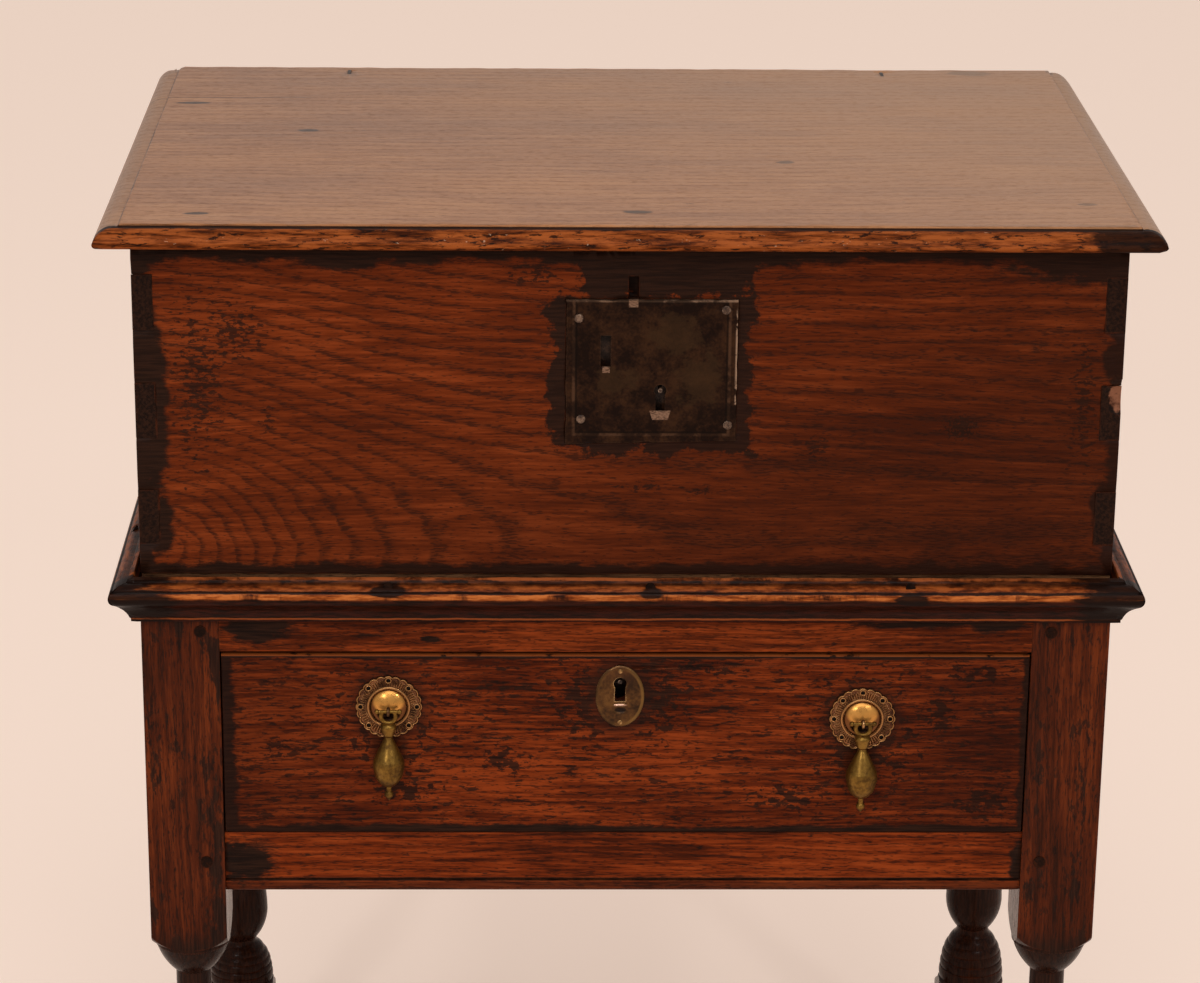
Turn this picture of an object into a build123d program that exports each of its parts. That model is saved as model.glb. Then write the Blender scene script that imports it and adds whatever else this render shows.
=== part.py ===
from build123d import *
import os
from math import cos, radians, sin

# Oak box with a hinged lid, standing loose in the moulded rim of a one-drawer stand on turned legs.
# Millimetres. +X is the right-hand side, -Y the front, +Z up.
# The origin is on the floor, under the centre of the whole object's plan.

os.makedirs("parts", exist_ok=True)

# ---- driving dimensions: stand --------------------------------------------------------------
stand_width = 691.0
leg_size = 55.5                 # square of the leg blocks
rail_bottom_z = 425.0           # underside of the stand's rails above the floor
bottom_rail_height = 47.5
drawer_opening_height = 140.5
top_rail_height = 50.0
rail_thickness = 22.0
rail_setback = 0.4              # rails lie this much behind the faces of the legs
tenon_thickness = 10.0
tenon_length = 30.0
tenon_setback = 8.0             # from the face of the leg to the front cheek of a tenon
tenon_shoulder = 6.0            # shoulder above and below a tenon
peg_radius = 4.4
peg_depth = 24.0
peg_proud = 0.8
peg_from_joint = 13.5           # from the rail's shoulder to the peg's centre
peg_below_opening = 23.5        # front pegs, from the drawer opening's edges
peg_above_opening = 15.7
rail_bead_height = 9.0
rail_quirk = 1.6

block_below_rail = 48.0         # from the rail's underside to the end of the upper block's faces
stretcher_block_top_z = 126.0
stretcher_block_height = 72.0
stretcher_height = 38.0
stretcher_thickness = 24.0
stretcher_shoulder = 5.0
foot_radius = 24.0
foot_pad_radius = 16.0
cup_height = 26.0               # turned cup under the upper block
bell_height = 53.0              # reeded bell above the stretcher block
low_bell_height = 43.0          # the same on the back left leg, which is turned lower

# ---- driving dimensions: moulding round the top of the stand ---------------------------------
moulding_reach = 20.4           # how far the lip stands out from the frame
moulding_height = 33.3
moulding_above_frame = 8.8      # the rim that keeps the box in place
moulding_nail_radius = 1.6
moulding_nail_head = 3.4
moulding_nail_sunk = 0.9

# ---- driving dimensions: box -----------------------------------------------------------------
box_side_clearance = 1.0        # box to the plane of the stand's sides
box_front_clearance = 1.5
box_height = 252.0              # with its bottom board
board = 14.5                    # thickness of the box's walls
bottom_thickness = 9.0
bottom_setback = 1.0
tail_count = 3
tail_width = 40.0               # at the tips
tail_pitch = 78.5
tail_slope = 4.0                # narrowing of each side of a tail over the board's thickness
first_tail_z = 42.5             # centre of the lowest tail above the foot of the walls
edge_wear = 1.0                 # rounding of exposed arrises

lid_thickness = 14.5
lid_depth = 502.0
lid_overhang = 23.5
lid_quirk = 1.8                 # step down from the lid's flat top to its rounded edge
lid_edge_width = 17.0

# ---- driving dimensions: box lock ------------------------------------------------------------
plate_centre_x = 15.0
plate_centre_z = 160.0          # above the frame
plate_width = 119.5
plate_height = 104.0
plate_skew = 3.0                # the lower edge rises by this much to the right
plate_thickness = 2.0
plate_let_in = 0.8
case_width = 88.0
case_height = 76.0
case_depth = 9.6
case_wall = 1.4
box_key_x = 21.3
box_key_z = 146.0               # above the frame
key_head_radius = 4.3
key_slot_width = 6.6
key_slot_length = 15.0
hasp_slot_x = -17.0
hasp_slot_width = 7.2
hasp_slot_height = 23.0
bolt_height = 14.0
bolt_thickness = 4.0
bolt_length = 52.0
bolt_travel = 13.0
lock_pin_radius = 1.5
old_hole_x = 2.0
old_hole_width = 7.0
old_hole_height = 17.0
old_hole_z = 220.0              # above the frame
nail_radius = 1.5
nail_head_radius = 3.2
nail_head_height = 1.1
nail_depth = 9.0
chip_x = -18.5                  # shallow chip in the top edge of the box's front
chip_width = 42.0
chip_depth = 4.0
corner_chip_z = 142.0           # broken corner of the box, above the frame
corner_chip_radius = 24.0
corner_chip_depth = 4.5

# ---- driving dimensions: snipe hinges --------------------------------------------------------
hinge_x = 214.0
eye_wire = 1.5
eye_gap = 0.3
eye_drop = 4.5                  # hinge axis below the lid
clench_length = 13.0
clench_width = 2.4
clench_thickness = 1.2

# ---- driving dimensions: drawer --------------------------------------------------------------
drawer_side_gap = 0.8
drawer_top_gap = 2.2
drawer_proud = 1.0
drawer_front_thickness = 20.0
drawer_side_thickness = 11.0
drawer_back_thickness = 10.0
drawer_bottom_thickness = 8.0
drawer_back_gap = 0.3
drawer_tail_count = 2
drawer_lap = 5.0                # wood left in front of the drawer's dovetails
drawer_edge_wear = 2.0
slide_clearance = 0.3
runner_width = 52.0
runner_depth = 24.0
guide_height = 20.0
kicker_depth = 20.0

handle_x = 170.0
handle_left_z = 99.3            # plate centre above the drawer opening's floor
handle_right_z = 90.2
handle_plate_radius = 20.3      # to the centres of the lobes of its edge
handle_lobe_radius = 3.9
handle_lobes = 24
handle_holes = 8
handle_hole_radius = 1.4
handle_hole_circle = 20.2
handle_plate_thickness = 1.2
handle_ring_radius = 14.6
handle_dome_radius = 13.0
handle_dome_height = 4.8
cotter_wire = 1.1
drop_wire = 1.3
drop_offset = 10.5              # from the drawer's face to the drop's axis
drop_eye_gap = 0.1
drop_loop_radius = 5.2
drop_bar_length = 16.0
drop_ball_radius = 1.9
drop_bulb_radius = 11.3
drop_back_gap = 0.6             # the drop's flat back stays this clear of the drawer
drop_length = 69.0
drop_finial_radius = 3.2
cotter_shank_radius = 1.5
cotter_prong_length = 11.0

escutcheon_x = -4.3
escutcheon_z = 107.3            # centre above the drawer opening's floor
escutcheon_width = 35.0
escutcheon_height = 47.0
escutcheon_thickness = 1.3
drawer_lock_width = 54.0
drawer_lock_height = 56.0
drawer_lock_depth = 10.0
drawer_bolt_width = 24.0
drawer_bolt_thickness = 4.0
drawer_bolt_length = 12.5
drawer_bolt_travel = 8.0
drawer_key_z = 117.4            # centre of the key's pin above the drawer opening's floor
drawer_key_head = 4.7
drawer_key_slot_width = 7.4
drawer_key_slot_length = 13.5
drawer_nail_radius = 1.2

# ---- sizes that follow from these ------------------------------------------------------------
half_width = stand_width / 2
drawer_floor_z = rail_bottom_z + bottom_rail_height
opening_top_z = drawer_floor_z + drawer_opening_height
frame_top_z = opening_top_z + top_rail_height
frame_height = frame_top_z - rail_bottom_z
moulding_bottom_z = frame_top_z + moulding_above_frame - moulding_height

box_half_width = half_width - box_side_clearance
wall_bottom_z = frame_top_z + bottom_thickness
box_top_z = frame_top_z + box_height
lid_top_z = box_top_z + lid_thickness
lid_half_width = box_half_width + lid_overhang

eye_radius = eye_wire + eye_gap + eye_wire          # ring radius that lets one wire turn in the other
hinge_offset = 2 * eye_radius + eye_wire            # axis behind the box
hinge_reach = hinge_offset + eye_radius + eye_wire
lid_front_y = -(lid_depth + hinge_reach) / 2
box_front_y = lid_front_y + lid_overhang
box_back_y = lid_front_y + lid_depth
stand_front_y = box_front_y - box_front_clearance
stand_back_y = box_back_y
hinge_y = box_back_y + hinge_offset
hinge_z = box_top_z - eye_drop

inner_leg_x = half_width - leg_size
leg_centre_x = half_width - leg_size / 2
leg_front_y = stand_front_y + leg_size / 2
leg_back_y = stand_back_y - leg_size / 2
stretcher_block_bottom_z = stretcher_block_top_z - stretcher_block_height
stretcher_z = stretcher_block_bottom_z + (stretcher_block_height - stretcher_height) / 2

drawer_face_y = stand_front_y - drawer_proud
drawer_half_width = inner_leg_x - drawer_side_gap
drawer_bottom_z = drawer_floor_z + slide_clearance
drawer_top_z = opening_top_z - drawer_top_gap
drawer_back_y = stand_back_y - rail_setback - rail_thickness - drawer_back_gap


# ---- shared helpers --------------------------------------------------------------------------
def block(x, y, z, mode=Mode.ADD):
    """A rectangular block between pairs of X, Y and Z limits."""
    with Locations(((x[0] + x[1]) / 2, (y[0] + y[1]) / 2, (z[0] + z[1]) / 2)):
        Box(abs(x[1] - x[0]), abs(y[1] - y[0]), abs(z[1] - z[0]), mode=mode)


def bar_along(axis, centre, radius, start, end, mode=Mode.ADD):
    """A round bar along +X, +Y or +Z from start to end; centre gives its other two coordinates."""
    planes = {
        "x": Plane(origin=(start, centre[0], centre[1]), z_dir=(1, 0, 0)),
        "y": Plane(origin=(centre[0], start, centre[1]), z_dir=(0, 1, 0)),
        "z": Plane(origin=(centre[0], centre[1], start), z_dir=(0, 0, 1)),
    }
    with BuildSketch(planes[axis]) as section:
        Circle(radius)
    extrude(section.sketch, amount=end - start, mode=mode)


def tails(x, tip_y, root_y, centres_z, width, mode=Mode.ADD):
    """Dovetails seen along X: wide at tip_y, narrower at root_y."""
    half = width / 2
    narrow = half - tail_slope
    with BuildSketch(Plane(origin=(x[0], 0, 0), x_dir=(0, 1, 0), z_dir=(1, 0, 0))) as section:
        for z in centres_z:
            Polygon(
                (root_y, z - narrow),
                (tip_y, z - half),
                (tip_y, z + half),
                (root_y, z + narrow),
                align=None,
            )
    extrude(section.sketch, amount=x[1] - x[0], mode=mode)


def keyhole(plane, head_radius, slot_width, slot_length, depth, mode=Mode.SUBTRACT):
    """Round head with a slot below it, cut along the plane's normal."""
    with BuildSketch(plane) as section:
        Circle(head_radius)
        with Locations((0, -slot_length / 2)):
            Rectangle(slot_width, slot_length)
    extrude(section.sketch, amount=depth, mode=mode)


def facing_front(x, y, z):
    """A sketch plane at a point of a front face, its Y up and its normal pointing into the object."""
    return Plane(origin=(x, y, z), x_dir=(-1, 0, 0), z_dir=(0, 1, 0))


def finish(piece, name):
    """Labels one finished piece and writes it as its own file."""
    piece.part.label = name
    export_step(piece.part, f"parts/{name}.step")


sides = {"left": -1, "right": 1}
ends = {"front": -1, "back": 1}


# ---- legs ------------------------------------------------------------------------------------
block_end_z = rail_bottom_z - block_below_rail
shoulder_rise = leg_size * 0.24             # turning cuts this far up into the corners of a block
corner_radius = leg_size * 0.72             # just outside a block's corner
cup_radius = leg_size / 2
neck_radius = leg_size * 0.232
swell_radius = leg_size * 0.435
ring_radius = leg_size * 0.32
bell_reeds = [(0.494, 0.075), (0.487, 0.283), (0.468, 0.425), (0.443, 0.575), (0.389, 0.717), (0.299, 0.868)]


def leg_profile(bell_rise):
    """Half outline of the turning, from the foot up to the top of the leg."""
    lower_neck_z = stretcher_block_bottom_z - 11
    bell_top_z = stretcher_block_top_z + bell_rise
    cup_bottom_z = block_end_z - cup_height
    swell_z = bell_top_z + 27
    with BuildLine() as outline:
        Line((0, 0), (foot_pad_radius, 0))
        ThreePointArc(
            (foot_pad_radius, 0),
            (foot_radius, lower_neck_z / 2),
            (neck_radius + 2, lower_neck_z - 4),
        )
        Line((neck_radius + 2, lower_neck_z - 4), (neck_radius, lower_neck_z - 2))
        Line((neck_radius, lower_neck_z - 2), (neck_radius, lower_neck_z))
        ThreePointArc(
            (neck_radius, lower_neck_z),
            (cup_radius * 0.86, stretcher_block_bottom_z - 4.5),
            (cup_radius, stretcher_block_bottom_z),
        )
        Line(
            (cup_radius, stretcher_block_bottom_z),
            (corner_radius, stretcher_block_bottom_z + shoulder_rise),
        )
        Line(
            (corner_radius, stretcher_block_bottom_z + shoulder_rise),
            (corner_radius, stretcher_block_top_z - shoulder_rise),
        )
        Line((corner_radius, stretcher_block_top_z - shoulder_rise), (cup_radius, stretcher_block_top_z))
        # reeded bell above the stretcher block: each reed as shares of the leg's size and the bell's height
        previous = (cup_radius, stretcher_block_top_z)
        for width_share, rise_share in bell_reeds:
            reed_top = (leg_size * width_share, stretcher_block_top_z + bell_rise * rise_share)
            middle = ((previous[0] + reed_top[0]) / 2 + 0.8, (previous[1] + reed_top[1]) / 2)
            ThreePointArc(previous, middle, reed_top)
            groove = (reed_top[0] - 0.7, reed_top[1] + 0.5)
            Line(reed_top, groove)
            previous = groove
        ThreePointArc(previous, (neck_radius + 1.0, bell_top_z - 3.0), (neck_radius + 0.6, bell_top_z))
        # long baluster with its swell low down
        ThreePointArc(
            (neck_radius + 0.6, bell_top_z),
            (swell_radius - 2.4, swell_z - 13),
            (swell_radius, swell_z),
        )
        Spline(
            (swell_radius, swell_z),
            (swell_radius - 4.6, swell_z + 40),
            (neck_radius + 1.2, cup_bottom_z - 37),
            tangents=[(0, 1), (-0.08, 1)],
        )
        Line((neck_radius + 1.2, cup_bottom_z - 37), (ring_radius - 2.5, cup_bottom_z - 35))
        ThreePointArc(
            (ring_radius - 2.5, cup_bottom_z - 35),
            (ring_radius, cup_bottom_z - 30),
            (ring_radius - 2.5, cup_bottom_z - 25),
        )
        Line((ring_radius - 2.5, cup_bottom_z - 25), (neck_radius, cup_bottom_z - 23))
        Line((neck_radius, cup_bottom_z - 23), (neck_radius, cup_bottom_z))
        # cup under the upper block, and the rounded shoulders of the block's corners
        ThreePointArc(
            (neck_radius, cup_bottom_z),
            (cup_radius * 0.83, block_end_z - cup_height * 0.5),
            (cup_radius - 0.8, block_end_z - 3),
        )
        Line((cup_radius - 0.8, block_end_z - 3), (cup_radius, block_end_z - 2.4))
        Line((cup_radius, block_end_z - 2.4), (cup_radius, block_end_z))
        ThreePointArc(
            (cup_radius, block_end_z),
            (cup_radius + (corner_radius - cup_radius) * 0.62, block_end_z + shoulder_rise * 0.44),
            (corner_radius, block_end_z + shoulder_rise),
        )
        Line((corner_radius, block_end_z + shoulder_rise), (corner_radius, frame_top_z))
        Line((corner_radius, frame_top_z), (0, frame_top_z))
        Line((0, frame_top_z), (0, 0))
    return outline.edges()


rail_tenon_z = (rail_bottom_z + tenon_shoulder, frame_top_z - tenon_shoulder)
front_tenons_z = {
    "bottom": (rail_bottom_z + tenon_shoulder, drawer_floor_z - tenon_shoulder),
    "top": (opening_top_z + tenon_shoulder, frame_top_z - tenon_shoulder),
}
stretcher_tenon_z = (stretcher_z + stretcher_shoulder, stretcher_z + stretcher_height - stretcher_shoulder)
side_pegs_z = [rail_bottom_z + frame_height * share for share in (0.16, 0.84)]
front_pegs_z = [drawer_floor_z - peg_below_opening, opening_top_z + peg_above_opening]
stretcher_peg_z = stretcher_z + stretcher_height / 2


def across_tenon(end):
    """Y limits of a tenon of a rail that runs from side to side, at the front or the back."""
    face = stand_front_y if end == "front" else stand_back_y
    inward = -ends[end]
    return (face + inward * tenon_setback, face + inward * (tenon_setback + tenon_thickness))


def side_tenon_x(side):
    """X limits of a tenon of a rail that runs from front to back."""
    outer = sides[side] * (half_width - tenon_setback)
    return (outer, outer - sides[side] * tenon_thickness)


def stretcher_tenon(centre):
    """Limits of a stretcher's tenon across its thickness."""
    return (centre - tenon_thickness / 2, centre + tenon_thickness / 2)


def tenon_reach_x(side):
    """X limits of a tenon that enters a leg from its inner side."""
    return (sides[side] * inner_leg_x, sides[side] * (inner_leg_x + tenon_length))


def tenon_reach_y(end):
    """Y limits of a tenon that enters a leg from its inner end."""
    shoulder = stand_front_y + leg_size if end == "front" else stand_back_y - leg_size
    return (shoulder, shoulder + ends[end] * tenon_length)


stretcher_reach = tenon_length * 0.55       # stretcher tenons are short, because two meet in one block


def stretcher_reach_x(side):
    return (sides[side] * inner_leg_x, sides[side] * (inner_leg_x + stretcher_reach))


def stretcher_reach_y(end):
    shoulder = tenon_reach_y(end)[0]
    return (shoulder, shoulder + ends[end] * stretcher_reach)


def rail_peg_places(side, end):
    """Pegs of one leg: (axis, centre, start, end) of each round peg."""
    face_y = stand_front_y if end == "front" else stand_back_y
    peg_x = sides[side] * (inner_leg_x + peg_from_joint)
    heights = front_pegs_z if end == "front" else side_pegs_z
    places = []
    for z in heights:
        places.append(("y", (peg_x, z), face_y, ends[end]))
    peg_y = tenon_reach_y(end)[0] + ends[end] * peg_from_joint
    for z in side_pegs_z:
        places.append(("x", (peg_y, z), sides[side] * half_width, sides[side]))
    return places


def stretcher_peg_places(side, end):
    face_y = stand_front_y if end == "front" else stand_back_y
    peg_x = sides[side] * (inner_leg_x + stretcher_reach / 2)
    peg_y = tenon_reach_y(end)[0] + ends[end] * stretcher_reach / 2
    return [
        ("y", (peg_x, stretcher_peg_z), face_y, ends[end]),
        ("x", (peg_y, stretcher_peg_z), sides[side] * half_width, sides[side]),
    ]


stretcher_peg_depth = leg_size / 2 + tenon_thickness / 2 + 3


def peg(axis, centre, face, outward, depth, proud, mode=Mode.ADD):
    """One peg from its slightly proud head to its end inside the leg."""
    low, high = sorted((face - outward * depth, face + outward * proud))
    bar_along(axis, centre, peg_radius, low, high, mode)


for side in sides:
    for end in ends:
        centre_x = sides[side] * leg_centre_x
        centre_y = leg_front_y if end == "front" else leg_back_y
        with BuildPart() as leg:
            with BuildSketch(Plane.XZ):
                make_face(leg_profile(low_bell_height if (end, side) == ("back", "left") else bell_height))
            revolve(axis=Axis.Z)
            with BuildSketch():
                RectangleRounded(leg_size, leg_size, edge_wear)
            extrude(amount=frame_top_z, mode=Mode.INTERSECT)
        with BuildPart() as leg_piece:
            add(leg.part.moved(Location((centre_x, centre_y, 0))))
            if end == "front":
                for span in front_tenons_z.values():
                    block(tenon_reach_x(side), across_tenon(end), span, Mode.SUBTRACT)
            else:
                block(tenon_reach_x(side), across_tenon(end), rail_tenon_z, Mode.SUBTRACT)
            block(side_tenon_x(side), tenon_reach_y(end), rail_tenon_z, Mode.SUBTRACT)
            block(stretcher_reach_x(side), stretcher_tenon(centre_y), stretcher_tenon_z, Mode.SUBTRACT)
            block(stretcher_tenon(centre_x), stretcher_reach_y(end), stretcher_tenon_z, Mode.SUBTRACT)
            for place in rail_peg_places(side, end):
                peg(*place, peg_depth, peg_proud, Mode.SUBTRACT)
            for place in stretcher_peg_places(side, end):
                peg(*place, stretcher_peg_depth, peg_proud, Mode.SUBTRACT)
        finish(leg_piece, f"leg_{end}_{side}")


def cut_pegs(places, depth):
    for place in places:
        peg(*place, depth, peg_proud, Mode.SUBTRACT)


def peg_groups(places_of):
    return [place for side in sides for end in ends for place in places_of(side, end)]


# ---- nails of the moulding, which enter the rails --------------------------------------------
front_nails_x = (-169.0, 16.0, 200.0)
side_nails_share = (0.22, 0.52, 0.82)
nail_slope = radians(35)
nail_out = moulding_reach * 0.66            # where the nail enters the sloping face
nail_up = moulding_height * 0.875
nail_length = nail_out / cos(nail_slope) + rail_thickness / 2


def moulding_nail(place, inward, mode=Mode.ADD):
    """Nail driven inwards and down through the moulding into the frame, with a low round head."""
    x, y, z = place
    start = (x - inward[0] * nail_out, y - inward[1] * nail_out, z)
    course = (inward[0] * cos(nail_slope), inward[1] * cos(nail_slope), -sin(nail_slope))
    with BuildSketch(Plane(origin=start, z_dir=course)) as shank:
        Circle(moulding_nail_radius)
    extrude(shank.sketch, amount=nail_length, mode=mode)
    with BuildSketch(Plane(origin=start, z_dir=course)) as head:
        Circle(moulding_nail_head)
    extrude(head.sketch, amount=moulding_nail_sunk, both=True, mode=mode)


nail_z = moulding_bottom_z + nail_up
side_moulding_length = stand_back_y - stand_front_y
moulding_nail_places = [((x, stand_front_y, nail_z), (0, 1)) for x in front_nails_x]
moulding_nail_places += [
    ((sides[side] * half_width, stand_front_y + side_moulding_length * share, nail_z), (-sides[side], 0))
    for side in sides
    for share in side_nails_share
]


def cut_moulding_nails():
    for place in moulding_nail_places:
        moulding_nail(*place, Mode.SUBTRACT)


# ---- nails of the runners and kickers, which enter the side rails ----------------------------
side_rail_y = (tenon_reach_y("front")[0], tenon_reach_y("back")[0])
side_rail_inner_x = half_width - rail_setback - rail_thickness
runner_inner_x = side_rail_inner_x - runner_width
runner_nails_share = (0.12, 0.5, 0.88)
runner_nail_depth = rail_thickness * 0.7


def runner_nail_places(side):
    """Nails from the inner face of a runner's guide, or of a kicker, into the side rail."""
    span = side_rail_y[1] - side_rail_y[0]
    heights = (drawer_floor_z + guide_height / 2, opening_top_z + kicker_depth / 2)
    return [
        (side_rail_y[0] + span * share, z)
        for z in heights
        for share in runner_nails_share
    ]


def runner_nails_of(side, mode=Mode.ADD):
    start, stop = sorted((sides[side] * inner_leg_x, sides[side] * (side_rail_inner_x + runner_nail_depth)))
    for centre in runner_nail_places(side):
        bar_along("x", centre, nail_radius, start, stop, mode)


# ---- rails of the stand ----------------------------------------------------------------------
def beaded_edge(front_plane_y, outward, x):
    """Scratched quirk along the lower edge of a rail's outer face, which leaves a bead below it."""
    quirk_z = rail_bottom_z + rail_bead_height
    block(
        x,
        (front_plane_y, front_plane_y - outward * rail_quirk),
        (quirk_z, quirk_z + rail_quirk),
        Mode.SUBTRACT,
    )


def front_edge(piece, level):
    """The lowest or highest edge of a rail's front face, along X."""
    level_edges = piece.edges().filter_by(Axis.X).group_by(Axis.Z)[0 if level == "low" else -1]
    return level_edges.sort_by(Axis.Y)[0]


front_rail_y = (stand_front_y + rail_setback, stand_front_y + rail_setback + rail_thickness)
shoulders_x = (-inner_leg_x, inner_leg_x)

with BuildPart() as rail_front_bottom:
    block(shoulders_x, front_rail_y, (rail_bottom_z, drawer_floor_z))
    fillet(front_edge(rail_front_bottom, "low"), radius=rail_bead_height / 2)
    fillet(front_edge(rail_front_bottom, "high"), radius=edge_wear)
    beaded_edge(front_rail_y[0], -1, shoulders_x)
    for side in sides:
        block(tenon_reach_x(side), across_tenon("front"), front_tenons_z["bottom"])
    cut_pegs(peg_groups(rail_peg_places), peg_depth)
finish(rail_front_bottom, "rail_front_bottom")

lock_mortise_x = (escutcheon_x - drawer_bolt_width / 2 - 1, escutcheon_x + drawer_bolt_width / 2 + 1)
drawer_bolt_back_y = drawer_face_y + drawer_front_thickness - case_wall - slide_clearance
drawer_bolt_y = (drawer_bolt_back_y - drawer_bolt_thickness, drawer_bolt_back_y)

with BuildPart() as rail_front_top:
    block(shoulders_x, front_rail_y, (opening_top_z, frame_top_z))
    fillet(front_edge(rail_front_top, "low"), radius=edge_wear)
    for side in sides:
        block(tenon_reach_x(side), across_tenon("front"), front_tenons_z["top"])
    cut_pegs(peg_groups(rail_peg_places), peg_depth)
    mortise_top_z = opening_top_z + drawer_bolt_travel + 2
    block(
        lock_mortise_x,
        (drawer_bolt_y[0] - 1, drawer_bolt_y[1] + 1),
        (opening_top_z, mortise_top_z),
        Mode.SUBTRACT,
    )
    cut_moulding_nails()
finish(rail_front_top, "rail_front_top")

back_rail_y = (stand_back_y - rail_setback - rail_thickness, stand_back_y - rail_setback)
with BuildPart() as rail_back:
    block(shoulders_x, back_rail_y, (rail_bottom_z, frame_top_z))
    for side in sides:
        block(tenon_reach_x(side), across_tenon("back"), rail_tenon_z)
    cut_pegs(peg_groups(rail_peg_places), peg_depth)
finish(rail_back, "rail_back")

for side in sides:
    outer_x = sides[side] * (half_width - rail_setback)
    inner_x = outer_x - sides[side] * rail_thickness
    with BuildPart() as rail_side:
        block((inner_x, outer_x), side_rail_y, (rail_bottom_z, frame_top_z))
        low_edges = rail_side.edges().filter_by(Axis.Y).group_by(Axis.Z)[0]
        outer_low_edge = low_edges.sort_by(Axis.X)[-1 if side == "right" else 0]
        fillet(outer_low_edge, radius=rail_bead_height / 2)
        quirk_z = rail_bottom_z + rail_bead_height
        block(
            (outer_x - sides[side] * rail_quirk, outer_x),
            side_rail_y,
            (quirk_z, quirk_z + rail_quirk),
            Mode.SUBTRACT,
        )
        for end in ends:
            block(side_tenon_x(side), tenon_reach_y(end), rail_tenon_z)
        cut_pegs(peg_groups(rail_peg_places), peg_depth)
        cut_moulding_nails()
        runner_nails_of(side, Mode.SUBTRACT)
    finish(rail_side, f"rail_side_{side}")

with BuildPart() as rail_pegs:
    for place in peg_groups(rail_peg_places):
        peg(*place, peg_depth, peg_proud)
finish(rail_pegs, "rail_pegs")

# ---- stretchers ------------------------------------------------------------------------------
stretcher_span_z = (stretcher_z, stretcher_z + stretcher_height)
for end in ends:
    centre_y = leg_front_y if end == "front" else leg_back_y
    with BuildPart() as stretcher:
        block(
            shoulders_x,
            (centre_y - stretcher_thickness / 2, centre_y + stretcher_thickness / 2),
            stretcher_span_z,
        )
        fillet(stretcher.edges().filter_by(Axis.X).group_by(Axis.Z)[-1], radius=edge_wear * 2)
        for side in sides:
            block(stretcher_reach_x(side), stretcher_tenon(centre_y), stretcher_tenon_z)
        cut_pegs(peg_groups(stretcher_peg_places), stretcher_peg_depth)
    finish(stretcher, f"stretcher_{end}")

for side in sides:
    centre_x = sides[side] * leg_centre_x
    with BuildPart() as stretcher:
        block(
            (centre_x - stretcher_thickness / 2, centre_x + stretcher_thickness / 2),
            side_rail_y,
            stretcher_span_z,
        )
        fillet(stretcher.edges().filter_by(Axis.Y).group_by(Axis.Z)[-1], radius=edge_wear * 2)
        for end in ends:
            block(stretcher_tenon(centre_x), stretcher_reach_y(end), stretcher_tenon_z)
        cut_pegs(peg_groups(stretcher_peg_places), stretcher_peg_depth)
    finish(stretcher, f"stretcher_{side}")

with BuildPart() as stretcher_pegs:
    for place in peg_groups(stretcher_peg_places):
        peg(*place, stretcher_peg_depth, peg_proud)
finish(stretcher_pegs, "stretcher_pegs")


# ---- moulding --------------------------------------------------------------------------------
def moulding_outline(reach, height, back_height):
    """Section of the moulding: X outwards from the frame, Y up from its lower edge."""
    lip_low = (reach * 0.84, height * 0.47)
    lip_nose = (reach, height * 0.66)
    lip_high = (reach * 0.91, height * 0.80)
    fillet_foot = (reach * 0.30, height * 0.066)
    ovolo_top = (reach * 0.40, height * 0.905)
    arris_out = (reach * 0.37, height * 0.955)
    arris_in = (reach * 0.20, height)
    with BuildLine() as outline:
        Line((0, 0), (reach * 0.30, 0))
        Line((reach * 0.30, 0), fillet_foot)
        Line(fillet_foot, (reach * 0.34, height * 0.085))
        ThreePointArc((reach * 0.34, height * 0.085), (reach * 0.49, height * 0.27), lip_low)
        ThreePointArc(lip_low, lip_nose, lip_high)
        Line(lip_high, (reach * 0.86, height * 0.795))
        ThreePointArc((reach * 0.86, height * 0.795), (reach * 0.66, height * 0.885), ovolo_top)
        Line(ovolo_top, arris_out)
        Line(arris_out, arris_in)
        Line(arris_in, (0, back_height))
        Line((0, back_height), (0, 0))
    return outline.edges()


moulding_back_height = frame_top_z - moulding_bottom_z
front_moulding_plane = Plane(
    origin=(half_width + moulding_reach, stand_front_y, moulding_bottom_z),
    x_dir=(0, -1, 0),
    z_dir=(-1, 0, 0),
)
mitres = {
    side: Plane(
        origin=(sides[side] * half_width, stand_front_y, 0),
        x_dir=(0, 0, 1),
        z_dir=(-sides[side] / 2**0.5, -1 / 2**0.5, 0),
    )
    for side in sides
}
with BuildPart() as moulding_front:
    with BuildSketch(front_moulding_plane):
        make_face(moulding_outline(moulding_reach, moulding_height, moulding_back_height))
    extrude(amount=stand_width + 2 * moulding_reach)
    for side in sides:
        split(bisect_by=mitres[side], keep=Keep.TOP)
    cut_moulding_nails()
finish(moulding_front, "moulding_front")

for side in sides:
    start_y = stand_back_y if side == "right" else stand_front_y - moulding_reach
    side_moulding_plane = Plane(
        origin=(sides[side] * half_width, start_y, moulding_bottom_z),
        x_dir=(sides[side], 0, 0),
        z_dir=(0, -sides[side], 0),
    )
    with BuildPart() as moulding_side:
        with BuildSketch(side_moulding_plane):
            make_face(moulding_outline(moulding_reach, moulding_height, moulding_back_height))
        extrude(amount=side_moulding_length + moulding_reach)
        split(bisect_by=mitres[side], keep=Keep.BOTTOM)
        cut_moulding_nails()
    finish(moulding_side, f"moulding_{side}")

with BuildPart() as moulding_nails:
    for place in moulding_nail_places:
        moulding_nail(*place)
finish(moulding_nails, "moulding_nails")

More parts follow.
